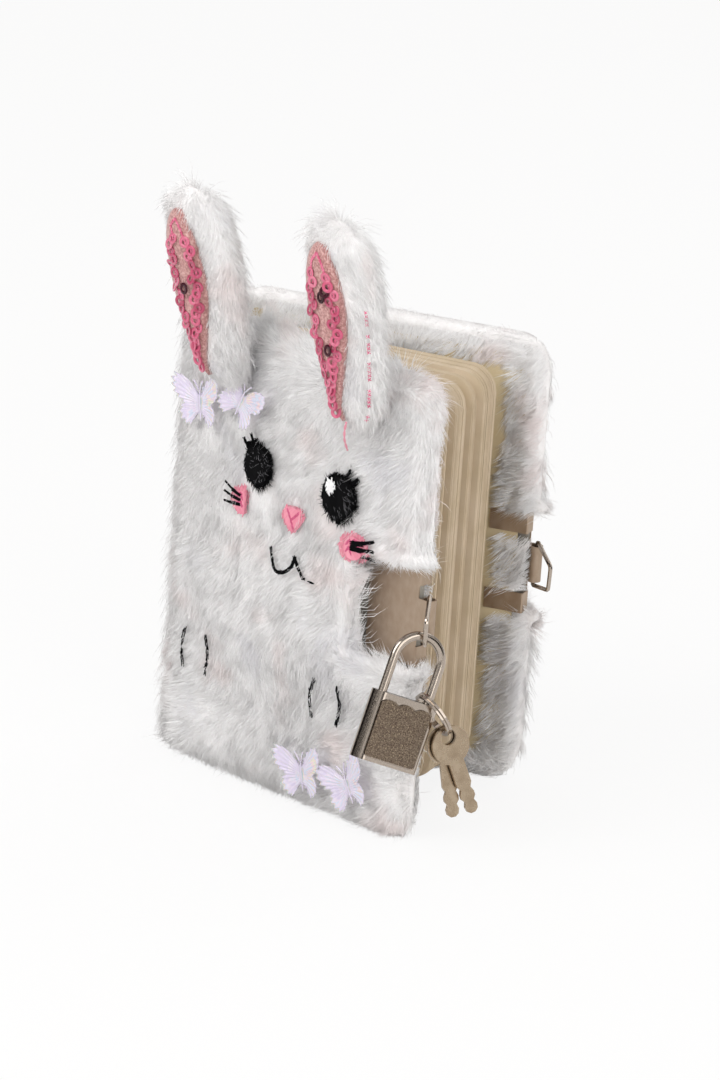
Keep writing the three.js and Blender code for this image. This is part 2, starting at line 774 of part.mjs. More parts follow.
// One toe line of a paw; the two lines of a paw lean apart
function toeLine(x, side) {
  return patch([stroke([
    [x - side * 0.9, pawLevel + pawLength / 2],
    [x + side * 0.5, pawLevel],
    [x - side * 0.6, pawLevel - pawLength / 2],
  ])]);
}

// Butterfly sequin: two large and two small wings round a slim body
function butterfly(x, z, turnDegrees) {
  const turn = rad(turnDegrees);
  const wing = [
    [0.03, 0.1], [0.2, 0.34], [0.44, 0.42], [0.5, 0.25], [0.42, 0.08], [0.27, 0.0],
    [0.36, -0.12], [0.33, -0.3], [0.2, -0.36], [0.09, -0.2], [0.03, -0.3],
  ];
  const outline = [...wing, ...wing.map(([dx, dz]) => [-dx, dz]).reverse()];
  const shape = new THREE.Shape(outline.map(([dx, dz]) => new THREE.Vector2(
    x + butterflySpan * (dx * Math.cos(turn) - dz * Math.sin(turn)),
    z + butterflySpan * (dx * Math.sin(turn) + dz * Math.cos(turn)),
  )));
  return patch([shape], butterflyThickness, 2 * seat);
}

// Padlock, with its own origin on the crown of the shackle: X right, Y away from its face, Z up
const lockTop = -shackleRise;
const lockBottom = lockTop - lockHeight;
const legX = shackleSpan / 2;

function stadium(inset) {
  const halfDepth = lockDepth / 2 - inset;
  const halfFlat = (lockWidth - lockDepth) / 2;
  const shape = new THREE.Shape();
  shape.moveTo(-halfFlat, -halfDepth);
  shape.lineTo(halfFlat, -halfDepth);
  shape.absarc(halfFlat, 0, halfDepth, -Math.PI / 2, Math.PI / 2);
  shape.lineTo(-halfFlat, halfDepth);
  shape.absarc(-halfFlat, 0, halfDepth, Math.PI / 2, 1.5 * Math.PI);
  return shape;
}

function lockPanelShape(grow) {
  const half = panelWidth / 2 + grow;
  const low = lockBottom + panelMargin - grow;
  const high = lockTop - panelMargin - 1.6 + grow;
  const lobe = (2 * half) / panelLobes;
  const shape = new THREE.Shape();
  shape.moveTo(-half + 1.5, low);
  shape.lineTo(half - 1.5, low);
  shape.quadraticCurveTo(half, low, half, low + 1.5);
  shape.lineTo(half, high);
  for (let i = 0; i < panelLobes; i += 1) {
    const right = half - i * lobe;
    shape.quadraticCurveTo(right - lobe / 2, high + 2.4, right - lobe, high);
  }
  shape.lineTo(-half, low + 1.5);
  shape.quadraticCurveTo(-half, low, -half + 1.5, low);
  return shape;
}

function lockShell() {
  const tube = cut(risen(stadium(0), lockBottom, lockTop, 10), risen(stadium(lockWall), lockBottom - 1, lockTop + 1, 10));
  return cut(tube, driven(lockPanelShape(seat), -far, -lockDepth / 2 + panelRecess, 4));
}

function lockPanel() {
  const back = -lockDepth / 2 + panelRecess - seat;
  return driven(lockPanelShape(0), back - panelThickness, back, 4);
}

const latchLevel = lockTop - 2.9;
const latchTip = legX - shackleWire - seat;

function lockCore() {
  const bore = shackleWire + boreClearance;
  const slotHalf = latchThickness / 2 + seat;
  const body = risen(stadium(lockWall + seat), lockBottom, lockTop, 10);
  return cut(
    body,
    rod(legX, 0, lockTop - toeDepth - 2, far, bore),
    rod(-legX, 0, lockTop - heelDepth, far, bore),
    rod(-legX, 0, lockTop - heelDepth - 2, lockTop - heelDepth + releaseTravel + 1.5, heelHead + boreClearance),
    block(latchTip - latchLength - 5, legX, -1.4, 1.4, latchLevel - slotHalf, latchLevel + slotHalf),
    block(-keywayWidth / 2, keywayWidth / 2, -keywayThickness / 2, keywayThickness / 2, lockBottom - 1, latchLevel),
  );
}

function lockLatch() {
  const half = latchThickness / 2;
  return block(latchTip - latchLength, latchTip, -1.1, 1.1, latchLevel - half, latchLevel + half);
}

function lockSpring() {
  const end = latchTip - latchLength - seat;
  const leaf = stroke([[end - 4, -0.8], [end - 2.2, 0.7], [end - 0.35, -0.6]], 0.4, 8);
  return risen(leaf, latchLevel - latchThickness / 2, latchLevel + latchThickness / 2);
}

function lockShackle() {
  const crown = arcPoints(0, -legX, legX, 180, 0, 12);
  const heel = [lockTop - heelDepth, lockTop, -legX - 4].map((z) => new THREE.Vector3(-legX, 0, z));
  const toe = [-legX - 4, lockTop, lockTop - toeDepth].map((z) => new THREE.Vector3(legX, 0, z));
  const bow = wire([...heel, ...crown, ...toe], new THREE.Vector3(0, 1, 0), shackleWire, 12, false);
  const head = rod(-legX, 0, lockTop - heelDepth - 1.2, lockTop - heelDepth, heelHead);
  const notchHalf = latchThickness / 2 + seat;
  const inner = legX - shackleWire;
  const notch = block(inner - 1, inner + notchDepth, -3, 3, latchLevel - notchHalf, latchLevel + notchHalf);
  return cut(join(bow, head), notch);
}

// Split ring round the shackle's right leg: it slopes over the corner of the padlock
const keyRingMiddle = keyRingInner + keyRingBand / 2;
const keyRingX = legX - shackleWire - seat
  + keyRingInner * Math.cos(rad(keyRingSlope)) - (keyRingThickness / 2) * Math.sin(rad(keyRingSlope));
const keyRingZ = lockTop - keyRingDrop;

function keyRing() {
  const half = keyRingThickness / 2;
  const outer = keyRingInner + keyRingBand;
  const profile = [
    [keyRingInner, -half], [outer, -half], [outer, -keyRingGroove], [outer - keyRingGroove, 0],
    [outer, keyRingGroove], [outer, half], [keyRingInner, half], [keyRingInner, -half],
  ].map(([r, h]) => new THREE.Vector2(r, h));
  const ring = new THREE.LatheGeometry(profile, 28).rotateX(Math.PI / 2).rotateY(rad(keyRingSlope));
  return mergeVertices(bareCopy(ring), 1e-4);
}

// Flat key: round bow with a hole, and a blade with cuts on both edges; the hole is at the origin
function key() {
  const half = keyBlade / 2;
  const bladeStart = -keyHoleToBow - Math.sqrt(keyBow ** 2 - half ** 2);
  const cuts = [[0, 1], [0.44, 1], [0.53, 0.68], [0.62, 0.94], [0.7, 0.94], [0.77, 0.6], [0.86, 0.84], [0.95, 0.72], [1, 0.3]];
  const edge = cuts.map(([t, share]) => [half * share, bladeStart + (-keyLength - bladeStart) * t]);
  const bowTurn = Math.asin(half / keyBow);
  const shape = new THREE.Shape();
  shape.absarc(0, -keyHoleToBow, keyBow, -Math.PI / 2 + bowTurn, 1.5 * Math.PI - bowTurn, false);
  edge.slice(1).forEach(([x, z]) => shape.lineTo(-x, z));
  edge.slice(1).reverse().forEach(([x, z]) => shape.lineTo(x, z));
  const hole = new THREE.Path();
  hole.absarc(0, 0, keyHole, 0, 2 * Math.PI, true);
  shape.holes.push(hole);
  return driven(shape, -keyThickness / 2, keyThickness / 2, 14);
}

// Assembly
function mesh(name, geometry, material) {
  const bare = mergeVertices(bareCopy(geometry), 1e-4);
  bare.computeVertexNormals();
  const piece = new THREE.Mesh(bare, material);
  piece.name = name;
  return piece;
}

function spine() {
  const half = hingeSpan / 2;
  const boardHalf = half - spineBoardInset;
  const boardHalfThickness = boardThickness / 2;
  const lip = boardHalfThickness;
  const board = block(-boardHalfThickness, boardHalfThickness, -boardHalf, boardHalf, boardBottom, boardTop);
  const outer = -boardHalfThickness - spinePile;
  const profile = new THREE.Shape();
  profile.moveTo(lip, -half + hingeGap);
  profile.lineTo(lip, half - hingeGap);
  profile.lineTo(outer + spineRound, half - hingeGap);
  profile.quadraticCurveTo(outer, half - hingeGap, outer - 1, 0);
  profile.quadraticCurveTo(outer, -half + hingeGap, outer + spineRound, -half + hingeGap);
  const pocket = block(
    -boardHalfThickness - seat, far, -boardHalf - seat, boardHalf + seat, boardBottom - seat, boardTop + seat,
  );
  const rolls = [-half, half].map((y) => rod(hingeX, y, -1, far, hingeRoll + seat, 24));
  const plush = cut(risen(profile, 0, boardTop + topPile / 2, 8), pocket, ...rolls);
  const stripFrom = lip + seat;
  const stripHalf = half - hingeRoll - 2 * seat;
  const strip = block(
    stripFrom, stripFrom + spineStripThickness, -stripHalf, stripHalf,
    boardBottom + pageLift + 2, boardBottom + pageLift + pageHeight - 2,
  );
  const group = new THREE.Group();
  group.add(mesh('spine_board', board, materials.greyboard));
  group.add(mesh('spine_plush', plush, materials.plush));
  group.add(mesh('text_block_spine_strip', strip, materials.mull));
  return group;
}

function textBlock() {
  const group = new THREE.Group();
  const pivotX = boardThickness / 2 + seat + spineStripThickness + seat + foldHalf;
  const rear = ((gatherings - 1) * gatheringPitch) / 2;
  for (let i = 0; i < gatherings; i += 1) {
    const pages = mesh(`page_gathering_${i + 1}`, gathering(), materials.paper);
    pages.position.set(pivotX, rear - i * gatheringPitch, 0);
    pages.rotation.z = rad(-fanAngles[i]);
    group.add(pages);
  }
  return group;
}

function coverPieces(prefix) {
  return [
    [`${prefix}_board`, coverBoard(), materials.greyboard],
    [`${prefix}_padding`, coverPad(), materials.wadding],
    [`${prefix}_plush`, coverPlush(), materials.plush],
    [`${prefix}_endpaper`, endpaper(), materials.paper],
    [`${prefix}_clasp_plate`, claspPlate(), materials.platedSteel],
  ];
}

function facePieces() {
  const pieces = [];
  for (const [name, side] of [['left', -1], ['right', 1]]) {
    pieces.push([`${name}_ear`, ear(side), materials.plush]);
    pieces.push([`${name}_ear_lining`, earLining(side), materials.velvet]);
    pieces.push([`${name}_ear_sequins`, earSequins(side), materials.sequin]);
    pieces.push([`${name}_eye`, eye(side), materials.blackThread]);
    pieces.push([`${name}_cheek`, cheek(side), materials.pinkThread]);
    pieces.push([`${name}_cheek_lashes`, cheekLashes(side), materials.blackThread]);
  }
  pieces.push(['right_eye_highlight', eyeHighlight(1), materials.whiteThread]);
  pieces.push(['nose', nose(), materials.pinkThread]);
  pieces.push(['mouth', mouth(), materials.blackThread]);
  for (const [paw, middle] of [['left', faceMiddle - leftPawOffset], ['right', faceMiddle + rightPawOffset]]) {
    pieces.push([`${paw}_paw_outer_toe`, toeLine(middle - toeSpacing / 2, -1), materials.blackThread]);
    pieces.push([`${paw}_paw_inner_toe`, toeLine(middle + toeSpacing / 2, 1), materials.blackThread]);
  }
  for (const [name, { x, z, turn }] of Object.entries(butterflies)) {
    pieces.push([name, butterfly(x, z, turn), materials.film]);
  }
  return pieces;
}

function frontCover() {
  const group = new THREE.Group();
  group.position.set(hingeX, -hingeSpan / 2, 0);
  group.rotation.z = rad(-frontOpening);
  for (const [name, geometry, material] of [...coverPieces('front'), ...facePieces()]) {
    group.add(mesh(name, mirroredDepth(geometry), material));
  }
  return group;
}

function backCover() {
  const group = new THREE.Group();
  group.position.set(hingeX, hingeSpan / 2, 0);
  for (const [name, geometry, material] of coverPieces('back')) {
    group.add(mesh(name, geometry, material));
  }
  return group;
}

function keys() {
  const slope = rad(keyRingSlope);
  const group = new THREE.Group();
  group.position.set(keyRingX, 0, keyRingZ);
  group.add(mesh('key_ring', keyRing(), materials.nickel));
  keySwings.forEach((swing, i) => {
    const turn = rad(swing);
    const hang = keyHole - keyRingThickness / 2 - keyRingBand / 4 - seat;
    const piece = mesh(`key_${i + 1}`, key(), materials.keyMetal);
    piece.position.set(
      keyRingMiddle * Math.cos(slope) + hang * Math.sin(turn),
      (i - 0.5) * keySpacing,
      -keyRingMiddle * Math.sin(slope) - hang * Math.cos(turn),
    );
    piece.rotation.y = -turn;
    group.add(piece);
  });
  return group;
}

function padlock() {
  const group = new THREE.Group();
  group.add(mesh('lock_shell', lockShell(), materials.nickel));
  group.add(mesh('lock_face_panel', lockPanel(), materials.castPanel));
  group.add(mesh('lock_core', lockCore(), materials.zinc));
  group.add(mesh('lock_latch', lockLatch(), materials.zinc));
  group.add(mesh('lock_latch_spring', lockSpring(), materials.nickel));
  group.add(mesh('lock_shackle', lockShackle(), materials.nickel));
  group.add(keys());
  return group;
}

// The front ring stands out of its knuckle, and the padlock hangs on its lower wire
function hangingClasp() {
  const opening = rad(-frontOpening);
  const group = new THREE.Group();
  const along = new THREE.Vector3(Math.cos(opening), Math.sin(opening), 0);
  const out = new THREE.Vector3(Math.sin(opening), -Math.cos(opening), 0);
  const knuckle = new THREE.Vector3(hingeX, -hingeSpan / 2, claspLevel);
  knuckle.addScaledVector(along, knuckleX).addScaledVector(out, knuckleY);
  group.position.copy(knuckle);
  const ring = mesh('front_clasp_ring', claspRing(), materials.nickel);
  ring.rotation.z = opening + rad(frontRingTurn);
  group.add(ring);
  const lowerWire = -ringBase / 2 + ((ringBase - ringFarBar) / 2) * (hangFromKnuckle / ringDepth);
  const sag = hangFromKnuckle * Math.tan(rad(ringDroop));
  const lock = padlock();
  lock.position.set(
    hangFromKnuckle * Math.cos(ring.rotation.z),
    hangFromKnuckle * Math.sin(ring.rotation.z),
    lowerWire - sag + ringWire + shackleWire + 2 * seat,
  );
  const yaw = new THREE.Quaternion().setFromAxisAngle(new THREE.Vector3(0, 0, 1), rad(lockTurn));
  lock.quaternion.setFromAxisAngle(along, rad(-lockLean)).multiply(yaw);
  group.add(lock);
  return group;
}

function backRing() {
  const ring = mesh('back_clasp_ring', claspRing(), materials.nickel);
  ring.position.set(hingeX + knuckleX, hingeSpan / 2 + knuckleY, claspLevel);
  ring.rotation.z = rad(backRingTurn);
  return ring;
}

const journal = new THREE.Group();
journal.name = 'plush_journal';
journal.add(spine(), textBlock(), backCover(), frontCover(), backRing(), hangingClasp());

export default journal;
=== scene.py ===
# Looks for the plush rabbit journal: faux fur, embroidery, paper, film trims and small metal hardware
import json
import math

import bpy
import numpy as np
from mathutils import Matrix, Vector
from mathutils.bvhtree import BVHTree
from mathutils.kdtree import KDTree


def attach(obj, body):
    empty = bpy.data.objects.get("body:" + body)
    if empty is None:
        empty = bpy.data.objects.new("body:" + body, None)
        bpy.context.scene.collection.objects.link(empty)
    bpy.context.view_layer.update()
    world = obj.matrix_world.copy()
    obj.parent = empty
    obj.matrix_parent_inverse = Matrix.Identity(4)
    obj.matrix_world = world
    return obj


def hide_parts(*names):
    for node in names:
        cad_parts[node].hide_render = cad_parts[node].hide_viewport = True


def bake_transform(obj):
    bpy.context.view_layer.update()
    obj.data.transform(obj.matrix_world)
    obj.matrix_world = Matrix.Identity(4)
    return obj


bl_info = {
    "name": "Plush journal",
    "version": (1, 0, 0),
    "blender": (4, 5, 0),
    "location": "View3D > Sidebar > Journal",
    "description": "Fur, stitching, paper and hardware around the packed plush journal",
    "category": "Object",
}

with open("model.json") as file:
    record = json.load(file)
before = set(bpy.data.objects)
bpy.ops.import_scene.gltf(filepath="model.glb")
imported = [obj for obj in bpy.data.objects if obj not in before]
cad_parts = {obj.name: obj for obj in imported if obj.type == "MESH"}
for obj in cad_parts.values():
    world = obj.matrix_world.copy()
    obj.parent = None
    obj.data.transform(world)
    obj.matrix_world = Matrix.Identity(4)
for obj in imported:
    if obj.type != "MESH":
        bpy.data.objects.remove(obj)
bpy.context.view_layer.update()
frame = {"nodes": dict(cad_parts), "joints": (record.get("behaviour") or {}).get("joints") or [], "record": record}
MM = 0.001

# Case, in millimetres: the hinge line of each cover and how far the front cover is open
HINGE_X = 2.2
HINGE_Y = 13.0
OPENING = math.radians(22)
BOARD_REACH = 108.0
BOARD_TOP = 153.0
CLASP_LEVEL = 78.0
PLATE_HALF = 17.5
PLATE_FROM = 86.0
TAB_HEIGHT = 7.0

# Rays that look for the front cover's face start this far out
FAR_OUT = 60.0

# Hairs: how much their length, rise and width vary, how far they wander, and where and how far they bend
LENGTH_SPREAD = (0.75, 1.15)
RISE_SPREAD = (0.5, 1.2)
WIDTH_SPREAD = (0.7, 1.25)
WANDER = 0.13
BEND_AT = 0.45
BEND_RISE = 0.28
ROOT_WIDTH = 0.8
ROOT_DEPTH = 0.0004
FLOOR_CLEARANCE = 0.0002

# The share of hairs that stand up on their own, and how much more
STRAY_SHARE = 0.08
STRAY_RISE = 1.8

# Locks that draw their hairs together: their size in millimetres and their pull
LOCKS = ((6.5, 0.32), (2.4, 0.22))

# The most hairs in one piece, so that its STL copy keeps all of them
PILE_PART = 19800

# The share of the hairs over each trim that is left as wisps
WISPS = {
    "left_cheek": 0.15, "eye": 0.012, "cheek": 0.03, "nose": 0.02, "mouth": 0.03, "toe": 0.1,
    "butterfly": 0.0,
}

# Skins under the pile: the size of their voxels, and how far they are drawn in where the pile stands
COVER_SKIN = (1.3, 2.2)
SPINE_SKIN = (1.0, 1.8)
EAR_SKIN = (0.9, 1.3)

# At a cover's free edges: the further draw at its side and its head, and the pile's lift and trim at its head
EDGE_DRAW = {"front": (0.9, 0.2), "back": (1.2, 2.6)}
HEAD_LIFT = {"front": 1.3, "back": -0.2}
HEAD_TRIM = {"front": 0.0, "back": 0.6}

# Beside the window: how much its side's and its ends' pile is cut short, and how far its wall's hairs rise
WINDOW_TRIM = (0.35, 0.62)
WALL_RISE = 0.8

# The turned-in pile: its length on a skin's rim, on a cover and in its window, and on the spine's head
RIM_PILE = 9.0
TURNED_IN_PILE = (7.0, 6.0)
SPINE_HEAD_PILE = 4.0

# Where the spine's head turns in: how far inward, half its width, and its lowest level
SPINE_TURNED_IN = (1.1, 8.8, 146.0)

# Where the cloth over a hinge leaves the spine (from its middle) and meets a cover (from the hinge line)
HINGE_NEAR = (-4.6, 11.0)
HINGE_FAR = (2.4, 5.4)

# How far that cloth sags, its thickness, and the length of its pile
HINGE_SAG = 0.8
HINGE_CLOTH = 0.5
HINGE_PILE = 7.0

# Pages
PAGE_WIDTH = 97.0
PAGE_BOTTOM = 9.0
PAGE_HEIGHT = 138.0
PAGE_CORNER = 9.0
PAGE_HALF = 1.325
FOLD_HALF = 0.33
FOLD_TAPER = 16.0

# Ears, from the same values as the solids
EAR_LENGTHS = {-1: 71.0, 1: 76.0}
EAR_FOOT = 139.0
EAR_STAND_OFF = 18.0
EAR_FORWARD = math.radians(12)
EAR_SPLAY = math.radians(1.8)
EAR_TILT = math.radians(-2.8)
EAR_MIDDLE = 57.0
EAR_SPACING = 62.0
EAR_HALF = {"width": (8.0, 14.5), "depth": (6.0, 8.5)}
LINING_HALF = 9.5
LINING_ASIDE = 0.2
LINING_FACE = 0.9
LINING_DEPTH = 1.5

# Ring sequins, and how far they and the dark ones lie off the lining
SEQUIN_RADIUS = 1.95
SEQUIN_BORE = 0.85
RING_LIFT = 1.35
DARK_LIFT = 1.9

# Their two rows on a lining: how many in each, their start and reach up the ear, and their place across it
SPOTS = 19
ROW_FROM = 0.09
ROW_OVER = 0.64
ROW_INSET = 2.7
ROW_MIDDLE = 0.28
ROW_APART = 0.74
ROW_SWAY = 0.22

# The loop where the rows meet, and each ear's dark sequins: the share up the ear, and millimetres across
ROW_TIP = ((0.79, 2.4), (0.83, 0.0))
DARK_SPOTS = {-1: ((0.49, 1.5),), 1: ((0.665, 4.2), (0.635, 2.4), (0.39, 2.6))}

# Chain stitch: the pitch, length and width of its loops, its height on the velvet, and their lean
CHAIN_PITCH = 1.1
CHAIN_LENGTH = 1.55
CHAIN_WIDTH = 0.62
CHAIN_LIFT = 1.1
CHAIN_LEAN = 0.45

# The right ear's side seam: how many crosses, their start and reach up the ear, and their place across it
SEAM_CROSSES = 30
SEAM_FROM = 0.06
SEAM_OVER = 0.54
SEAM_ACROSS = 0.94

# Face, in cover millimetres: across from the hinge, and up
FACE_MIDDLE = 58.0
EYE_MIDDLE = 59.0
EYE_SPACING = 37.5
EYE_LEVEL = 112.0

# Each eye: half its width, half its height, and how far it is raised. The right eye's highlight
EYES = {-1: (6.2, 7.2, 1.2), 1: (7.25, 8.0, 0.0)}
SHINE_HALF = (2.1, 2.4)

# Broken fibres round an eye: how many, and how many grey ones, their lengths to its right and elsewhere,
# their width, and how many of them there are to a square millimetre
FUZZ_COUNT = 560
WISP_COUNT = 60
FUZZ_LENGTHS = (3.6, 1.7)
FUZZ_WIDTH = 0.17
FUZZ_PER_MM = 0.5

# Each cheek: its middle, and how much of it shows to the right of that. Its curls lie on a ring inside it
CHEEKS = {-1: (34.9, 99.6), 1: (86.0, 97.0)}
CHEEK_HALF = (6.4, 4.9)
CHEEK_SEEN = {-1: 0.6, 1: 7.0}
CURL_RING = 2.1
CURL_HALF = 0.9

# Each cheek's lashes: where they start, how far they reach, and their thickness at the root
LASHES = {-1: (-2.2, 6.4, 1.1), 1: (-0.3, 8.4, 2.1)}

# How deep the patch under a stitched shape reaches
FELT_DEPTH = 1.6

# Nose, mouth and paws. Each toe line: its place across, and the side that it bends to
NOSE_LEVEL = 99.5
NOSE_HALF = 4.8
NOSE_SPREAD = 1.27
MOUTH_LEVEL = 86.5
PAW_LEVEL = 41.0
PAW_HALF = 6.25
TOES = {
    "left_paw_outer_toe": (8.8, -1),
    "left_paw_inner_toe": (21.2, 1),
    "right_paw_outer_toe": (71.3, -1),
    "right_paw_inner_toe": (83.7, 1),
}

# Butterflies: their span and film, and for each its place on the cover and its turn in degrees
BUTTERFLY_SPAN = 21.3
FILM_HEIGHT = 2.4
FILM_THICKNESS = 0.22
RIB_HEIGHT = 0.26
SCALLOP = 0.045
BUTTERFLIES = {
    "ear_butterfly_left": (12.0, 128.0, 8),
    "ear_butterfly_right": (31.5, 133.5, -24),
    "foot_butterfly_left": (70.0, 14.0, 12),
    "foot_butterfly_right": (91.0, 16.0, 30),
}

# Padlock at rest: it hangs on the front ring, turned and leaning, with its own origin on the shackle's crown
KNUCKLE = (111.2, 3.1)
RING_TURN = math.radians(50)
HANG_OUT = 10.0
HANG_DROP = 3.267
LOCK_TURN = math.radians(44)
LOCK_LEAN = math.radians(22)
SHACKLE_WIRE = 1.5
SHACKLE_LEG = 8.5
SHACKLE_RISE = 21.0
TOE_DEPTH = 6.0
HEEL_DEPTH = 14.0
HEEL_HEAD = 1.95
HEEL_HEAD_THICKNESS = 1.2
WIRE_SIDES = 24
NOTCH_LEVEL = -23.9
NOTCH_HALF = 0.85
NOTCH_DEPTH = 1.1

ALONG = np.array([math.cos(OPENING), -math.sin(OPENING), 0.0])
OUT = np.array([-math.sin(OPENING), -math.cos(OPENING), 0.0])
UP = np.array([0.0, 0.0, 1.0])


# Places and directions
def front(u, n, z):
    """A point in metres from front cover millimetres: from the hinge, outward, and up."""
    return (np.array([HINGE_X, -HINGE_Y, 0.0]) + u * ALONG + n * OUT + z * UP) * MM


def joint(name):
    return next(j for j in frame["joints"] if j["name"] == name)


def unit(vectors):
    return vectors / np.maximum(np.linalg.norm(vectors, axis=-1, keepdims=True), 1e-12)


# Materials
def linear(colour):
    """The linear colour that a shader socket takes, from sRGB hex. A property's colour is linear already."""
    if not isinstance(colour, str):
        return tuple(colour)
    channels = [int(colour[k : k + 2], 16) / 255 for k in (1, 3, 5)]
    return [c / 12.92 if c <= 0.04045 else ((c + 0.055) / 1.055) ** 2.4 for c in channels] + [1.0]


def add(owner, kind, links=None, stops=(), **settings):
    """Adds a node to a material or a world. links are the sources of its sockets.

    stops are a ramp's positions and colours. Capitalised settings set its sockets, the others its properties.
    """
    node = owner.node_tree.nodes.new("ShaderNode" + kind)
    for name, value in settings.items():
        if name[0].isupper():
            node.inputs[name.replace("_", " ")].default_value = value
        else:
            setattr(node, name, value)
    for name, source in (links or {}).items():
        socket = node.inputs[int(name)] if name.isdigit() else node.inputs[name]
        owner.node_tree.links.new(source, socket)
    if stops:
        elements = node.color_ramp.elements
        while len(elements) < len(stops):
            elements.new(0.5)
        for element, (position, colour) in zip(elements, stops):
            element.position = position
            element.color = linear(colour)
    return node


def new_material(name):
    material = bpy.data.materials.new(name)
    material.use_nodes = True
    material.node_tree.nodes.clear()
    return material


def surfaced(material, links, **settings):
    """Ends a material in its Principled shader and returns it."""
    shader = add(material, "BsdfPrincipled", links, **settings)
    add(material, "OutputMaterial", {"Surface": shader.outputs[0]})
    return material


# Each Scale is a pattern's grains to the metre: 1000 divided by the size of a grain in millimetres

# Modacrylic pile: matt with a soft sheen, each hair a little different in tone, and tinted a little pink or grey
# in faint 22 mm patches
def fur_material(name, values):
    material = new_material(name)
    hair = add(material, "NewGeometry")
    toned = add(material, "ValToRGB", {"Fac": hair.outputs["Random Per Island"]}, (
        (0.0, values.fur_shade), (0.5, values.fur), (1.0, values.fur_light),
    ))
    place = add(material, "TexCoord")
    patch = add(material, "TexNoise", {"Vector": place.outputs["Object"]}, Scale=45, Detail=2)
    cloudy = add(material, "ValToRGB", {"Fac": patch.outputs["Fac"]}, (
        (0.3, "#fdf6f5"), (0.45, "#ffffff"), (0.6, "#ffffff"), (0.72, "#f8f8fa"),
    ))
    dyed = add(
        material, "Mix", {"6": toned.outputs[0], "7": cloudy.outputs[0]}, data_type="RGBA",
        blend_type="MULTIPLY", Factor=1.0,
    )
    return surfaced(
        material, {"Base Color": dyed.outputs[2]}, Roughness=0.8, Sheen_Weight=0.2, Sheen_Roughness=0.5,
    )


# Knitted polyester backing under the pile: matt and close in tone to it, with knitted stitches of 1.4 mm
def backing_material():
    material = new_material("knitted_backing")
    place = add(material, "TexCoord")
    patch = add(material, "TexNoise", {"Vector": place.outputs["Object"]}, Scale=220, Detail=3)
    knit = add(material, "ValToRGB", {"Fac": patch.outputs["Fac"]}, ((0.3, "#ece9e9"), (0.7, "#fbfafa")))
    loops = add(material, "TexNoise", {"Vector": place.outputs["Object"]}, Scale=700, Detail=3)
    rough = add(material, "Bump", {"Height": loops.outputs["Fac"]}, Distance=0.0004)
    return surfaced(material, {"Base Color": knit.outputs[0], "Normal": rough.outputs[0]}, Roughness=0.95)


# Embroidery thread: twisted rayon, with a silky sheen and a twist of 0.4 mm
def thread_material(name, dark, light, roughness=0.55, sheen=0.15, gloss=0.3):
    material = new_material(name)
    strand = add(material, "NewGeometry")
    tones = ((0.0, dark), (1.0, light))
    tone = add(material, "ValToRGB", {"Fac": strand.outputs["Random Per Island"]}, tones)
    place = add(material, "TexCoord")
    twist = add(material, "TexNoise", {"Vector": place.outputs["Object"]}, Scale=2600, Detail=3)
    fibres = add(material, "Bump", {"Height": twist.outputs["Fac"]}, Distance=0.0001)
    return surfaced(
        material, {"Base Color": tone.outputs[0], "Normal": fibres.outputs[0]}, Roughness=roughness,
        Sheen_Weight=sheen, Specular_IOR_Level=gloss,
    )


# Crushed velvet: brighter at a grazing angle. Its pile is drawn coarse, in tufts of 0.7 mm, so that it shows
def velvet_material(values):
    material = new_material("velvet")
    place = add(material, "TexCoord")
    lie = add(material, "TexNoise", {"Vector": place.outputs["Object"]}, Scale=1300, Detail=4)
    crushed = add(material, "ValToRGB", {"Fac": lie.outputs["Fac"]}, (
        (0.35, values.velvet_shade), (0.5, values.velvet), (0.66, values.velvet_light),
    ))
    tufts = add(material, "TexNoise", {"Vector": place.outputs["Object"]}, Scale=1500, Detail=3)
    nap = add(material, "Bump", {"Height": tufts.outputs["Fac"]}, Distance=0.0003)
    return surfaced(
        material, {"Base Color": crushed.outputs[0], "Normal": nap.outputs[0]}, Roughness=0.85,
        Sheen_Weight=0.7, Sheen_Roughness=0.4,
    )


# Uncoated wood-free paper: cream, in faint clouds of 11 mm, with 0.3 mm fibres drawn coarse so that they show
def paper_material(name, dark, light):
    material = new_material(name)
    place = add(material, "TexCoord")
    clouds = add(material, "TexNoise", {"Vector": place.outputs["Object"]}, Scale=90, Detail=6)
    tone = add(material, "ValToRGB", {"Fac": clouds.outputs["Fac"]}, ((0.3, dark), (0.7, light)))
    fibres = add(material, "TexNoise", {"Vector": place.outputs["Object"]}, Scale=3000, Detail=3)
    tooth = add(material, "Bump", {"Height": fibres.outputs["Fac"]}, Distance=0.00003)
    return surfaced(material, {"Base Color": tone.outputs[0], "Normal": tooth.outputs[0]}, Roughness=0.9)


# Plated metal: polished or brushed, with faint rub marks, of 0.4 mm unless the call gives another scale
def metal_material(name, dark, light, roughness, stretch=(1, 1, 1), per_metre=2500, depth=0.000004):
    material = new_material(name)
    place = add(material, "TexCoord")
    drawn = add(material, "Mapping", {"Vector": place.outputs["Object"]}, Scale=stretch)
    marks = add(material, "TexNoise", {"Vector": drawn.outputs[0]}, Scale=per_metre, Detail=4)
    tone = add(material, "ValToRGB", {"Fac": marks.outputs["Fac"]}, ((0.3, dark), (0.7, light)))
    rough = add(
        material, "MapRange", {"Value": marks.outputs["Fac"]}, To_Min=roughness * 0.8,
        To_Max=roughness * 1.25,
    )
    worn = add(material, "Bump", {"Height": marks.outputs["Fac"]}, Strength=0.4, Distance=depth)
    return surfaced(
        material, {"Base Color": tone.outputs[0], "Roughness": rough.outputs[0], "Normal": worn.outputs[0]},
        Metallic=1.0,
    )


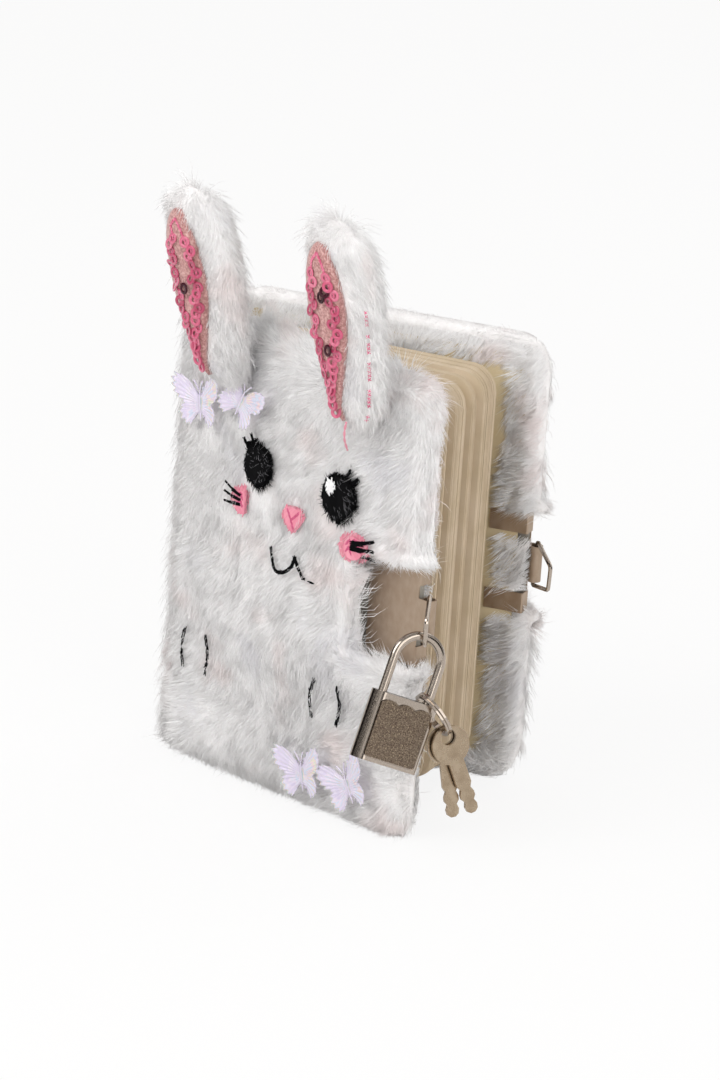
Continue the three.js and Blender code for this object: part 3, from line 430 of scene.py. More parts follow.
# Sand-cast zinc of the padlock's face: sparkling 0.3 mm grains of brown, grey and gold
def cast_material():
    material = new_material("sanded_zinc_panel")
    place = add(material, "TexCoord")
    grains = add(material, "TexNoise", {"Vector": place.outputs["Object"]}, Scale=3200, Detail=5)
    tone = add(material, "ValToRGB", {"Fac": grains.outputs["Fac"]}, (
        (0.34, "#44382f"), (0.46, "#685a4d"), (0.56, "#7d6e61"), (0.68, "#b5a283"),
    ))
    sand = add(material, "Bump", {"Height": grains.outputs["Fac"]}, Distance=0.00014)
    return surfaced(
        material, {"Base Color": tone.outputs[0], "Normal": sand.outputs[0]}, Metallic=0.85, Roughness=0.46,
    )


# Iridescent polyester film: milky, with 4 mm patches of blue, pink and gold, and a pressed grain of 0.7 mm. Its
# tint also moves with the angle at which each face is seen: a painted iridescent sheen
def film_material():
    material = new_material("iridescent_film")
    # Painted iridescent sheen: how squarely a face is seen shifts its tint along the ramp, together with the
    # patches
    facing = add(material, "LayerWeight", Blend=0.4)
    place = add(material, "TexCoord")
    drift_of_hue = add(material, "TexNoise", {"Vector": place.outputs["Object"]}, Scale=260, Detail=2)
    mixed = add(
        material, "Math", {"0": facing.outputs["Facing"], "1": drift_of_hue.outputs["Fac"]}, operation="ADD",
    )
    halved = add(material, "Math", {"0": mixed.outputs[0]}, operation="MULTIPLY")
    halved.inputs[1].default_value = 0.62
    tint = add(material, "ValToRGB", {"Fac": halved.outputs[0]}, (
        (0.2, "#f5eefb"), (0.34, "#e3d8f4"), (0.44, "#f4e8f8"), (0.52, "#d8e5fa"), (0.6, "#f8dcea"),
        (0.68, "#fbf0d8"), (0.8, "#cfeef0"),
    ))
    grain = add(material, "TexNoise", {"Vector": place.outputs["Object"]}, Scale=1500, Detail=4)
    pressed = add(material, "Bump", {"Height": grain.outputs["Fac"]}, Distance=0.00022)
    return surfaced(
        material, {"Base Color": tint.outputs[0], "Normal": pressed.outputs[0]}, Roughness=0.16, Alpha=0.8,
        Coat_Weight=0.9, Coat_Roughness=0.06, IOR=1.6,
    )


# Sequin: dyed polyester with a hard gloss
def sequin_material(name, tones, gloss=0.5):
    material = new_material(name)
    each = add(material, "NewGeometry")
    dyed = add(
        material, "ValToRGB", {"Fac": each.outputs["Random Per Island"]}, tuple(zip((0.0, 0.5, 1.0), tones)),
    )
    return surfaced(
        material, {"Base Color": dyed.outputs[0]}, Roughness=0.28, Coat_Weight=gloss,
        Specular_IOR_Level=gloss,
    )


# Meshes
def new_piece(name, points, faces, material, body=None, slot=None, smooth=True, replaces=()):
    """A mesh piece from points in metres, riding on its body."""
    mesh = bpy.data.meshes.new(name)
    mesh.from_pydata([tuple(p) for p in points], [], [tuple(f) for f in faces])
    return finish_piece(name, mesh, material, body, smooth, replaces)


def finish_piece(name, mesh, material, body=None, smooth=True, replaces=()):
    mesh.validate()
    if smooth:
        mesh.shade_smooth()
    if material:
        mesh.materials.append(material)
    piece = bpy.data.objects.new(name, mesh)
    bpy.context.scene.collection.objects.link(piece)
    if body:
        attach(piece, body)
    if replaces:
        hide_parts(*replaces)
    return piece


def settled(work, name):
    """The mesh of a working object with its modifiers applied. The object is removed."""
    depsgraph = bpy.context.evaluated_depsgraph_get()
    mesh = bpy.data.meshes.new_from_object(work.evaluated_get(depsgraph))
    bpy.data.objects.remove(work)
    mesh.name = name
    return mesh


def mesh_from_arrays(name, points, quads, triangles):
    """Builds a large mesh from arrays of points, quads and triangles."""
    mesh = bpy.data.meshes.new(name)
    mesh.vertices.add(len(points))
    mesh.vertices.foreach_set("co", points.astype(np.float32).ravel())
    corners = np.concatenate([quads.ravel(), triangles.ravel()])
    mesh.loops.add(len(corners))
    mesh.loops.foreach_set("vertex_index", corners.astype(np.int32))
    starts = np.concatenate([
        np.arange(len(quads)) * 4, len(quads) * 4 + np.arange(len(triangles)) * 3,
    ])
    mesh.polygons.add(len(quads) + len(triangles))
    mesh.polygons.foreach_set("loop_start", starts.astype(np.int32))
    mesh.update(calc_edges=True)
    return mesh


def tube(points, radius, sides):
    """Points and faces of a round wire along a path; radius may be one number or one for each point."""
    points = np.asarray(points, float)
    count = len(points)
    radii = np.broadcast_to(radius, (count,))
    ahead = np.vstack([points[1:], 2 * points[-1:] - points[-2:-1]])
    behind = np.vstack([2 * points[:1] - points[1:2], points[:-1]])
    along = unit(ahead - behind)
    side = np.cross(along[0], UP if abs(along[0][2]) < 0.9 else np.array([1.0, 0, 0]))
    rings = []
    turn = np.arange(sides) * 2 * math.pi / sides
    for i in range(count):
        side = unit(side - along[i] * (side @ along[i]))
        other = np.cross(along[i], side)
        rings.append(points[i] + radii[i] * (np.outer(np.cos(turn), side) + np.outer(np.sin(turn), other)))
    vertices = np.vstack(rings)
    faces = []
    for i in range(count - 1):
        for k in range(sides):
            a, b = i * sides + k, i * sides + (k + 1) % sides
            faces.append((a, b, b + sides, a + sides))
    faces.append(tuple(reversed(range(sides))))
    faces.append(tuple(range((count - 1) * sides, count * sides)))
    return vertices, faces


def gather(parts):
    """Joins lists of (points, faces) into one."""
    points, faces, start = [], [], 0
    for part_points, part_faces in parts:
        points.extend(part_points)
        faces.extend(tuple(i + start for i in face) for face in part_faces)
        start += len(part_points)
    return points, faces


def slab(near, far_side):
    """A closed thin solid between two equal grids of points."""
    rows, columns = near.shape[:2]
    points = np.vstack([near.reshape(-1, 3), far_side.reshape(-1, 3)])
    size = rows * columns
    faces = []
    for r in range(rows - 1):
        for c in range(columns - 1):
            a, b = r * columns + c, r * columns + c + 1
            faces.append((a, b, b + columns, a + columns))
            faces.append((a + size, a + columns + size, b + columns + size, b + size))
    rim = list(range(columns))
    rim += [r * columns + columns - 1 for r in range(1, rows)]
    rim += [(rows - 1) * columns + c for c in range(columns - 2, -1, -1)]
    rim += [r * columns for r in range(rows - 2, 0, -1)]
    for i, a in enumerate(rim):
        b = rim[(i + 1) % len(rim)]
        faces.append((b, a, a + size, b + size))
    return points, faces


def bead(at, along, normal, length, width, height):
    """One stitch: a small closed spindle that lies along a direction."""
    across = np.cross(normal, along)
    stations = [(-0.5, 0.0), (-0.4, 0.72), (0.0, 1.0), (0.4, 0.72), (0.5, 0.0)]
    points = [at + along * length * stations[0][0]]
    for t, share in stations[1:-1]:
        for k in range(6):
            turn = k * math.pi / 3
            offset = across * (width / 2 * math.cos(turn)) + normal * (height / 2 * math.sin(turn))
            points.append(at + along * length * t + offset * share)
    points.append(at + along * length * stations[-1][0])
    faces = []
    for k in range(6):
        after = (k + 1) % 6
        faces.append((0, 1 + after, 1 + k))
        faces.append((1 + k, 1 + after, 7 + after, 7 + k))
        faces.append((7 + k, 7 + after, 13 + after, 13 + k))
        faces.append((13 + k, 13 + after, 19))
    return points, faces


# Fur
def vertex_arrays(mesh):
    """The places and the normals of a mesh's vertices."""
    arrays = []
    for key in ("co", "normal"):
        values = np.empty(len(mesh.vertices) * 3, np.float32)
        mesh.vertices.foreach_get(key, values)
        arrays.append(values.reshape(-1, 3))
    return arrays


def soft_copy(node, name, voxel, inset, material, body, slot, replaces, outwardness):
    """A smooth skin from a soft solid, drawn in where the pile stands on it."""
    source = frame["nodes"][node]
    mesh = source.data.copy()
    mesh.materials.clear()
    work = bpy.data.objects.new(name + "_work", mesh)
    bpy.context.scene.collection.objects.link(work)
    remesh = work.modifiers.new("Remesh", "REMESH")
    remesh.mode = "VOXEL"
    remesh.voxel_size = voxel * MM
    smooth = work.modifiers.new("Smooth", "SMOOTH")
    smooth.iterations = 4
    final = settled(work, name)
    points, normals = vertex_arrays(final)
    points -= normals * (inset * MM * outwardness(points))[:, None].astype(np.float32)
    final.vertices.foreach_set("co", points.ravel())
    final.update()
    return finish_piece(name, final, material, body, True, replaces)


def scatter(piece, per_square_cm, random):
    """Random roots over a piece, with the surface's normals there."""
    mesh = piece.data
    mesh.calc_loop_triangles()
    corners = np.empty(len(mesh.loop_triangles) * 3, np.int32)
    mesh.loop_triangles.foreach_get("vertices", corners)
    corners = corners.reshape(-1, 3)
    points, normals = (values.astype(float) for values in vertex_arrays(mesh))
    a, b, c = (points[corners[:, k]] for k in range(3))
    area = np.linalg.norm(np.cross(b - a, c - a), axis=1) / 2
    count = int(area.sum() * 1e4 * per_square_cm)
    chosen = np.searchsorted(np.cumsum(area), random.random(count) * area.sum())
    chosen = np.minimum(chosen, len(area) - 1)
    s, t = random.random(count), random.random(count)
    fold = s + t > 1
    s[fold], t[fold] = 1 - s[fold], 1 - t[fold]
    weights = np.stack([1 - s - t, s, t], 1)[:, :, None]
    roots = (points[corners[chosen]] * weights).sum(1)
    facing = unit((normals[corners[chosen]] * weights).sum(1))
    return roots, facing


def drift(points, seed, size):
    """Smooth values between about -1 and 1 that change over a size in metres."""
    random = np.random.default_rng(seed)
    total = np.zeros(len(points))
    for k in range(6):
        way = unit(random.normal(size=3)) * (2 * math.pi / size) * (0.6 + 0.25 * k)
        total += np.sin(points @ way + random.random() * 2 * math.pi) / (1 + 0.35 * k)
    return total / 2.2


def grow(name, roots, facing, lay, length, rise, width, material, body, random, per_mm, parts=1):
    """Hairs as tapered closed spikes with three sides, a bend and a point. lay is the way that each leans."""
    count = len(roots)
    lay = unit(lay - facing * (lay * facing).sum(1, keepdims=True))
    length = (length * random.uniform(*LENGTH_SPREAD, count))[:, None] * MM
    stray = random.random(count) < STRAY_SHARE
    rise = np.where(stray, rise * STRAY_RISE, rise * random.uniform(*RISE_SPREAD, count))[:, None]
    wander = random.normal(size=(count, 3)) * WANDER
    tips = roots + (lay + facing * rise + wander) * length
    for lock, pull in LOCKS:
        seeds = random.choice(count, max(1, int(count / (per_mm * lock**2))), replace=False)
        tree = KDTree(len(seeds))
        for i, s in enumerate(seeds):
            tree.insert(roots[s], i)
        tree.balance()
        nearest = np.array([tree.find(r)[1] for r in roots])
        tips += (tips[seeds][nearest] - tips) * (pull * random.uniform(0.5, 1.0, count) * ~stray)[:, None]
    middle = roots + (tips - roots) * BEND_AT + facing * (rise * BEND_RISE * length)
    tips[:, 2] = np.maximum(tips[:, 2], FLOOR_CLEARANCE)
    middle[:, 2] = np.maximum(middle[:, 2], FLOOR_CLEARANCE)
    start = roots - facing * ROOT_DEPTH
    along = unit(tips - start)
    side = unit(np.cross(along, facing) + 1e-9)
    other = np.cross(along, side)
    widths = width * MM * random.uniform(*WIDTH_SPREAD, count)[:, None] / 2
    rings = []
    for centre, share in ((start, ROOT_WIDTH), (middle, 1.0)):
        for turn in (0, 2 * math.pi / 3, 4 * math.pi / 3):
            rings.append(centre + (side * math.cos(turn) + other * math.sin(turn)) * widths * share)
    points = np.stack([*rings, tips], 1)
    order = np.argsort(roots[:, 2], kind="stable")
    pieces = []
    for part, members in enumerate(np.array_split(order, parts)):
        base = (np.arange(len(members)) * 7)[:, None]
        quads = np.concatenate([base + np.array(q) for q in ((0, 1, 4, 3), (1, 2, 5, 4), (2, 0, 3, 5))])
        triangles = np.concatenate([base + np.array(t) for t in ((3, 4, 6), (4, 5, 6), (5, 3, 6), (2, 1, 0))])
        label = f"{name}_{part + 1}" if parts > 1 else name
        mesh = mesh_from_arrays(label, points[members].reshape(-1, 3), quads, triangles)
        piece = finish_piece(label, mesh, material, body)
        # Real pile lets light through, so the hairs leave the shadow to the skin under them
        piece.visible_shadow = False
        pieces.append(piece)
    return pieces


def front_local(points):
    """Cover millimetres of points in metres on the front cover: across, outward, up."""
    away = points / MM - np.array([HINGE_X, -HINGE_Y, 0.0])
    return away @ ALONG, away @ OUT, points[:, 2] / MM


def back_local(points):
    return points[:, 0] / MM - HINGE_X, points[:, 1] / MM - HINGE_Y, points[:, 2] / MM


def ease(value, low, high):
    t = np.clip((value - low) / (high - low), 0, 1)
    return t * t * (3 - 2 * t)


def cover_lay(points, u, z, flat, across, seed, head_lift):
    """Pile brushed down and to the spine in swirls, over the clasp's window, and inward on the rim."""
    turn = 0.9 * drift(points, seed, 0.05) + 0.4 * drift(points, seed + 1, 0.016)
    base = np.stack([-0.45 * np.cos(turn) + np.sin(turn), -np.cos(turn) - 0.45 * np.sin(turn)], 1)
    edge = ease(u, BOARD_REACH - 8, BOARD_REACH + 3)
    top = ease(z, BOARD_TOP - 8, BOARD_TOP + 3)
    base[:, 0] += 0.7 * edge - 0.8 * (1 - ease(u, 0, 10))
    base[:, 1] += head_lift * top
    height = abs(z - CLASP_LEVEL)
    level = 1 - ease(height, PLATE_HALF - 2, PLATE_HALF + 4)
    base[:, 0] += 1.2 * ease(u, PLATE_FROM - 15, PLATE_FROM - 2) * level
    below = (z < CLASP_LEVEL) & (u > PLATE_FROM - 5)
    base[:, 1] += 2.2 * below * (1 - ease(height, PLATE_HALF, PLATE_HALF + 9))
    above = (z > CLASP_LEVEL) & (u > PLATE_FROM - 5)
    base[:, 1] += 1.2 * above * (1 - ease(height, PLATE_HALF, PLATE_HALF + 5))
    inner = flat < -0.35
    base[inner] *= 0.5
    base[inner, 0] -= (1.5 * edge)[inner]
    base[inner, 1] -= (1.2 * top)[inner]
    return base[:, :1] * across + base[:, 1:] * UP


# Ears
def ear_half(t, which):
    foot, full = EAR_HALF[which]
    swell = min(1.0, t / 0.6)
    width = foot + (full - foot) * (1 - (1 - swell) ** 2)
    tip = max(0.0, (t - 0.62) / 0.38)
    heel = max(0.0, (0.14 - t) / 0.14)
    return width * math.sqrt(max(0.0, 1 - tip**2.2)) * math.sqrt(max(0.0, 1 - heel * heel))


def lining_half(t):
    rise = (t - 0.04) / 0.84
    if rise <= 0 or rise >= 1:
        return 0.0
    turn = rise**1.45
    return LINING_HALF * math.sin(math.pi * turn) ** (0.55 if turn > 0.5 else 0.75)


def lining_middle(t):
    return -LINING_ASIDE * ear_half(t, "width")


def ear_point(side, t, dx, lift):
    """A point of an ear's front and its normal: t up the ear, dx across from its middle, lifted off it."""
    splay = EAR_TILT + side * EAR_SPLAY
    along = unit(np.array([math.sin(splay), math.sin(EAR_FORWARD), math.cos(EAR_FORWARD)]))
    centre = np.array([EAR_MIDDLE + side * EAR_SPACING / 2, EAR_STAND_OFF, EAR_FOOT])
    centre = centre + along * t * EAR_LENGTHS[side]
    half_width, half_depth = ear_half(t, "width") + lift, ear_half(t, "depth") + lift
    bulge = math.sqrt(max(0.0, 1 - (dx / half_width) ** 2))
    u, n, z = centre + np.array([dx, half_depth * bulge, 0])
    normal = unit(dx / half_width**2 * ALONG + bulge / half_depth * OUT)
    return front(u, n, z), normal


# The cover's outer face, found from the solid
FRONT_SOLID = frame["nodes"]["front_plush"].data
FRONT_TREE = BVHTree.FromPolygons(
    [v.co.copy() for v in FRONT_SOLID.vertices], [tuple(p.vertices) for p in FRONT_SOLID.polygons],
)


def on_front(u, z, lift=0.0):
    """A point in metres on the front cover's outer face, and the normal there."""
    start = Vector(front(u, FAR_OUT, z))
    place, normal, *_ = FRONT_TREE.ray_cast(start, Vector(-OUT))
    if place is None:
        place, normal = Vector(front(u, 12.0, z)), Vector(OUT)
    return np.array(place) + np.array(normal) * lift * MM, np.array(normal)


# Stage: the share of white that the floor shows to the camera, and half its side in metres
FLOOR_GLOW = 0.86
FLOOR_HALF = 3.0

# What the camera turns about, the picture's middle right of and above that, and where the lamps point
TARGET = (52.2, -13.0, 78.0)
AIM_SHIFT = (8.73, 4.62)
LAMP_AIM = (0.05, -0.02, 0.09)

# Dark furnishings that polished metal reflects: how many bands, and where they turn from dark to white
FURNISHING_SCALE = 1.3
FURNISHINGS = ((0.44, "#1c1613"), (0.58, "#ffffff"))


# Properties
def dye(name, description, hex_colour):
    """A colour property. Its default is an sRGB hex colour."""
    return bpy.props.FloatVectorProperty(
        name=name, description=description, default=linear(hex_colour), size=4, subtype="COLOR", min=0.0,
        max=1.0,
    )


class JournalStage(bpy.types.PropertyGroup):
    distance: bpy.props.FloatProperty(
        name="Camera distance", description="From the journal's middle to the camera", default=2.211,
        unit="LENGTH",
    )
    azimuth: bpy.props.FloatProperty(
        name="Azimuth", description="Turn of the camera round the journal", default=math.radians(21.33),
        subtype="ANGLE",
    )
    elevation: bpy.props.FloatProperty(
        name="Elevation", description="Height of the camera above the horizon", default=math.radians(18.01),
        subtype="ANGLE",
    )
    roll: bpy.props.FloatProperty(
        name="Roll", description="Tilt of the picture", default=math.radians(3.91), subtype="ANGLE",
    )
    lens: bpy.props.FloatProperty(
        name="Lens", description="Focal length in millimetres", default=219.9, unit="CAMERA",
    )
    lamp: bpy.props.FloatProperty(
        name="Lamp strength", description="The key lamp's power", default=9.0, unit="POWER",
    )
    surround: bpy.props.FloatProperty(
        name="Surround", description="Strength of the room's light", default=0.7, subtype="FACTOR",
    )


class JournalPlush(bpy.types.PropertyGroup):
    pile_density: bpy.props.FloatProperty(
        name="Hairs per square cm", description="How close the hairs stand", default=445.0, min=10.0,
    )
    front_length: bpy.props.FloatProperty(
        name="Front pile", description="Length of the front cover's hairs", default=0.0095, unit="LENGTH",
    )
    back_length: bpy.props.FloatProperty(
        name="Back pile", description="Length of the back cover's hairs", default=0.008, unit="LENGTH",
    )
    ear_length: bpy.props.FloatProperty(
        name="Ear pile", description="Length of the ears' hairs", default=0.007, unit="LENGTH",
    )
    hair_width: bpy.props.FloatProperty(
        name="Hair width", description="Drawn coarser than a real fibre so that it shows", default=0.000168,
        unit="LENGTH",
    )
    fur_shade: dye("Fur, darkest", "The darkest hairs of the pile", "#f1efef")
    fur: dye("Fur", "The pile's middle tone", "#fbfafa")
    fur_light: dye("Fur, lightest", "The lightest hairs of the pile", "#ffffff")
    velvet_shade: dye("Lining, darkest", "The ears' velvet where it is crushed", "#a06f6d")
    velvet: dye("Lining", "The velvet's middle tone", "#bd8a86")
    velvet_light: dye("Lining, lightest", "The ears' velvet where it stands up", "#d6ada8")


class JournalPages(bpy.types.PropertyGroup):
    leaves: bpy.props.IntProperty(
        name="Leaves", description="Leaves drawn in each gathering", default=9, min=2, max=20,
    )
    leaf_thickness: bpy.props.FloatProperty(
        name="Leaf", description="Thickness of a drawn leaf", default=0.00017, unit="LENGTH",
    )
    paper_shade: dye("Paper, darkest", "The darker clouds in the leaves", "#d2c0a3")
    paper: dye("Paper", "The lighter clouds in the leaves", "#e1d0b8")


class JournalTrims(bpy.types.PropertyGroup):
    stitch_length: bpy.props.FloatProperty(
        name="Stitch", description="Length of an embroidery stitch", default=0.0021, unit="LENGTH",
    )
    stitch_width: bpy.props.FloatProperty(
        name="Thread", description="Width of an embroidery stitch", default=0.0005, unit="LENGTH",
    )
    wing_lift: bpy.props.FloatProperty(
        name="Wing lift", description="How far a butterfly's wings bend up", default=math.radians(10),
        subtype="ANGLE",
    )
    sequin_shade: dye("Sequins, darkest", "The darkest of the ring sequins", "#ab3558")
    sequin: dye("Sequins", "The ring sequins' middle tone", "#c64f72")
    sequin_light: dye("Sequins, lightest", "The lightest of the ring sequins", "#d8758f")
    black_shade: dye("Black thread, darkest", "Eyes, lashes, mouth and toe lines", "#010102")
    black: dye("Black thread", "Eyes, lashes, mouth and toe lines", "#08080a")
    pink_shade: dye("Pink thread, darkest", "Cheeks and nose", "#dd7f95")
    pink: dye("Pink thread", "Cheeks and nose", "#eb9dae")


# Operators
class JournalBuildStage(bpy.types.Operator):
    """Floor, room light, lamps and camera."""

    bl_idname = "journal.stage"
    bl_label = "Stage"

    def execute(self, context):
        values = context.scene.journal_stage
        target = np.array(TARGET) * MM
        azimuth, elevation, roll = values.azimuth, values.elevation, values.roll
        back = np.array([
            math.sin(azimuth) * math.cos(elevation),
            -math.cos(azimuth) * math.cos(elevation),
            math.sin(elevation),
        ])
        level = np.array([math.cos(azimuth), math.sin(azimuth), 0.0])
        upright = np.cross(back, level)
        right = math.cos(roll) * level + math.sin(roll) * upright
        top = -math.sin(roll) * level + math.cos(roll) * upright
        eye = target + back * values.distance
        aim = target + right * AIM_SHIFT[0] * MM + top * AIM_SHIFT[1] * MM
        camera = bpy.data.objects.new("camera", bpy.data.cameras.new("camera"))
        context.scene.collection.objects.link(camera)
        camera.data.lens = values.lens
        camera.data.clip_start = 0.1
        camera.data.clip_end = 20.0
        away = unit(eye - aim)
        across = unit(np.cross(top, away))
        above = np.cross(away, across)
        camera.matrix_world = Matrix([
            [across[k], above[k], away[k], eye[k]] for k in range(3)
        ] + [[0, 0, 0, 1]])
        context.scene.camera = camera
        self.make_floor()
        self.make_room(context, values)
        for name, place, size, power in (
            ("key_lamp", (-0.55, -0.9, 0.95), 0.9, values.lamp),
            ("fill_lamp", (0.95, -0.7, 0.5), 0.8, values.lamp * 0.42),
            ("rim_lamp", (0.3, 0.9, 0.9), 0.7, values.lamp * 0.2),
        ):
            lamp = bpy.data.lights.new(name, "AREA")
            lamp.energy = power
            lamp.size = size
            holder = bpy.data.objects.new(name, lamp)
            holder.location = place
            towards = Vector(LAMP_AIM) - Vector(place)
            holder.rotation_euler = towards.to_track_quat("-Z", "Y").to_euler()
            context.scene.collection.objects.link(holder)
        context.scene.view_settings.view_transform = "Standard"
        return {"FINISHED"}

    def make_floor(self):
        """A pale floor that shows nearly white to the camera and keeps the shadow."""
        half = FLOOR_HALF
        material = new_material("matt_floor")
        matt = add(material, "BsdfPrincipled", Base_Color=linear("#f2f1f0"), Roughness=0.9)
        glow = add(material, "Emission", Color=linear("#ffffff"))
        path = add(material, "LightPath")
        seen = add(
            material, "Math", {"0": path.outputs["Is Camera Ray"], "1": path.outputs["Is Glossy Ray"]},
            operation="MAXIMUM",
        )
        share = add(material, "Math", {"0": seen.outputs[0]}, operation="MULTIPLY")
        share.inputs[1].default_value = FLOOR_GLOW
        mixed = add(material, "MixShader", {
            "Fac": share.outputs[0], "1": matt.outputs[0], "2": glow.outputs[0],
        })
        add(material, "OutputMaterial", {"Surface": mixed.outputs[0]})
        floor = new_piece(
            "floor", [(-half, -half, 0), (half, -half, 0), (half, half, 0), (-half, half, 0)], [(0, 1, 2, 3)],
            material,
        )

    def make_room(self, context, values):
        """White to the camera, softer as light on the journal, and with dark furnishings in reflections."""
        world = bpy.data.worlds.new("studio_room")
        context.scene.world = world
        world.use_nodes = True
        world.node_tree.nodes.clear()
        white = add(world, "Background", Color=linear("#ffffff"))
        soft = add(world, "Background", Color=linear("#f6f4f2"), Strength=values.surround)
        # Polished metal needs something dark to reflect, or it doesn't look like metal
        place = add(world, "TexCoord")
        furnishing = add(
            world, "TexWave", {"Vector": place.outputs["Generated"]}, Scale=FURNISHING_SCALE, Distortion=2.5,
        )
        shade = add(world, "ValToRGB", {"Fac": furnishing.outputs["Fac"]}, FURNISHINGS)
        reflected = add(world, "Background", {"Color": shade.outputs[0]})
        path = add(world, "LightPath")
        glossy = add(world, "MixShader", {
            "0": path.outputs["Is Glossy Ray"], "1": soft.outputs[0], "2": reflected.outputs[0],
        })
        mixed = add(world, "MixShader", {
            "0": path.outputs["Is Camera Ray"], "1": glossy.outputs[0], "2": white.outputs[0],
        })
        add(world, "OutputWorld", {"Surface": mixed.outputs[0]})


class JournalBuildCovers(bpy.types.Operator):
    """The padded plush of both covers and of the spine, with its pile."""

    bl_idname = "journal.covers"
    bl_label = "Cover plush"

    def execute(self, context):
        values = context.scene.journal_plush
        self.width = values.hair_width / MM
        self.per_mm = values.pile_density / 100
        self.white = fur_material("modacrylic_pile", values)
        knit = backing_material()
        self.random = np.random.default_rng(11)
        for body, local, across, outward, length, seed in (
            ("front", front_local, ALONG, OUT, values.front_length, 3),
            ("back", back_local, np.array([1.0, 0, 0]), np.array([0, 1.0, 0]), values.back_length, 8),
        ):
            skin = soft_copy(
                f"{body}_plush", f"{body}_cover_skin", *COVER_SKIN, knit, f"{body}_cover", "plush",
                (f"{body}_plush", f"{body}_padding"),
                lambda points, local=local, body=body: self.drawn_in(body, *local(points)),
            )
            roots, facing = scatter(skin, values.pile_density, self.random)
            u, n, z = local(roots)
            flat = facing @ outward
            keep = (u > 3) | (n > 3)
            keep &= (z > 1) | (facing[:, 2] > -0.7)
            if body == "front":
                keep &= ~over_trims(roots, self.random)
            roots, facing, u, n, z, flat = roots[keep], facing[keep], u[keep], n[keep], z[keep], flat[keep]
            lay = cover_lay(roots, u, z, flat, across, seed, HEAD_LIFT[body])
            lengths = length / MM * (0.55 + 0.45 * ease(flat, 0.1, 0.8))
            lengths[flat < -0.35] = RIM_PILE
            lengths *= 1 - HEAD_TRIM[body] * ease(z, BOARD_TOP - 2, BOARD_TOP + 1)
            level = 1 - ease(abs(z - CLASP_LEVEL), PLATE_HALF, PLATE_HALF + 6)
            beside_plate = ease(u, PLATE_FROM - 6, PLATE_FROM - 1) * level
            wall = beside_plate * ease(facing @ across, 0.2, 0.6) * (u < PLATE_FROM + 2)
            at_side, at_ends = WINDOW_TRIM
            shorter = np.where(u > PLATE_FROM - 1, at_ends, at_side)
            lengths *= 1 - shorter * beside_plate * (flat > 0) * (1 - wall)
            if body == "front":
                leaning = unit(lay - facing * (lay * facing).sum(1, keepdims=True))
                ends = roots + leaning * (lengths * 0.8 * MM)[:, None]
                lengths = np.where(over_trims(ends, self.random), lengths * 0.35, lengths)
            rise = np.where(flat < -0.35, 0.16, 0.22 + 0.1 * (1 - ease(flat, 0.2, 0.9)) + WALL_RISE * wall)
            self.pile(f"{body}_cover_pile", roots, facing, lay, lengths, rise, f"{body}_cover")
            origin = np.array([HINGE_X, -HINGE_Y if body == "front" else HINGE_Y, 0.0])
            self.turn_in(body, origin, across, outward)
            self.hinge_band(body, origin + HINGE_FAR[0] * across + HINGE_FAR[1] * outward, knit)
        skin = soft_copy(
            "spine_plush", "spine_skin", *SPINE_SKIN, knit, "spine", "plush", ("spine_plush",),
            lambda points: 1 - ease(points[:, 0] / MM, -3.0, 0.5),
        )
        roots, facing = scatter(skin, values.pile_density, self.random)
        keep = (roots[:, 0] < -1.0 * MM) & (facing[:, 2] > -0.8)
        roots, facing = roots[keep], facing[keep]
        turn = 0.5 * drift(roots, 21, 0.05)
        lay = np.stack([np.zeros(len(roots)), np.sin(turn) * 0.5, -np.cos(turn)], 1)
        self.pile("spine_pile", roots, facing, lay, values.back_length / MM, 0.28, "spine")
        inward, half, low = SPINE_TURNED_IN
        count = int(2 * half * (BOARD_TOP - low) * self.per_mm)
        roots = np.stack([
            np.full(count, inward), self.random.uniform(-half, half, count),
            self.random.uniform(low, BOARD_TOP, count),
        ], 1) * MM
        facing = np.tile([1.0, 0, 0], (count, 1))
        down = np.tile(-UP, (count, 1))
        self.pile("spine_turned_in_pile", roots, facing, down, SPINE_HEAD_PILE, 0.3, "spine")
        return {"FINISHED"}

    def pile(self, name, roots, facing, lay, length, rise, body):
        parts = math.ceil(len(roots) / PILE_PART)
        grow(
            name, roots, facing, lay, length, rise, self.width, self.white, body, self.random,
            self.per_mm, parts,
        )

    def hinge_band(self, body, end, knit):
        """Cloth and pile that run from the spine over a hinge to a cover, and bend between them."""
        start = np.array([HINGE_NEAR[0], math.copysign(HINGE_NEAR[1], end[1]), 0.0])
        way = end - start
        facing = unit(np.array([-abs(way[1]), math.copysign(way[0], end[1]), 0.0]))
        rows, columns = 40, 9
        share, level = np.meshgrid(np.linspace(0, 1, columns), np.linspace(0.8, BOARD_TOP + 3, rows))
        sag = np.sin(math.pi * share)[..., None] * HINGE_SAG
        cloth = (start + way * share[..., None] + UP * level[..., None] - facing * sag) * MM
        points, faces = slab(cloth, cloth + facing * HINGE_CLOTH * MM)
        band = [new_piece(f"{body}_hinge_cloth", points, faces, knit, None, "plush")]
        count = int(np.linalg.norm(way) * BOARD_TOP * self.per_mm)
        share = self.random.random(count)[:, None]
        level = self.random.uniform(1.5, BOARD_TOP + 2.5, count)[:, None]
        roots = (start + way * share + UP * level - facing * HINGE_SAG * np.sin(math.pi * share)) * MM
        lay = unit(way) * 0.5 * drift(roots, 71, 0.03)[:, None] - UP
        band += grow(
            f"{body}_hinge_pile", roots, np.tile(facing, (count, 1)), lay, HINGE_PILE, 0.3, self.width,
            self.white, None, self.random, self.per_mm,
        )
        for piece in band:
            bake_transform(piece)

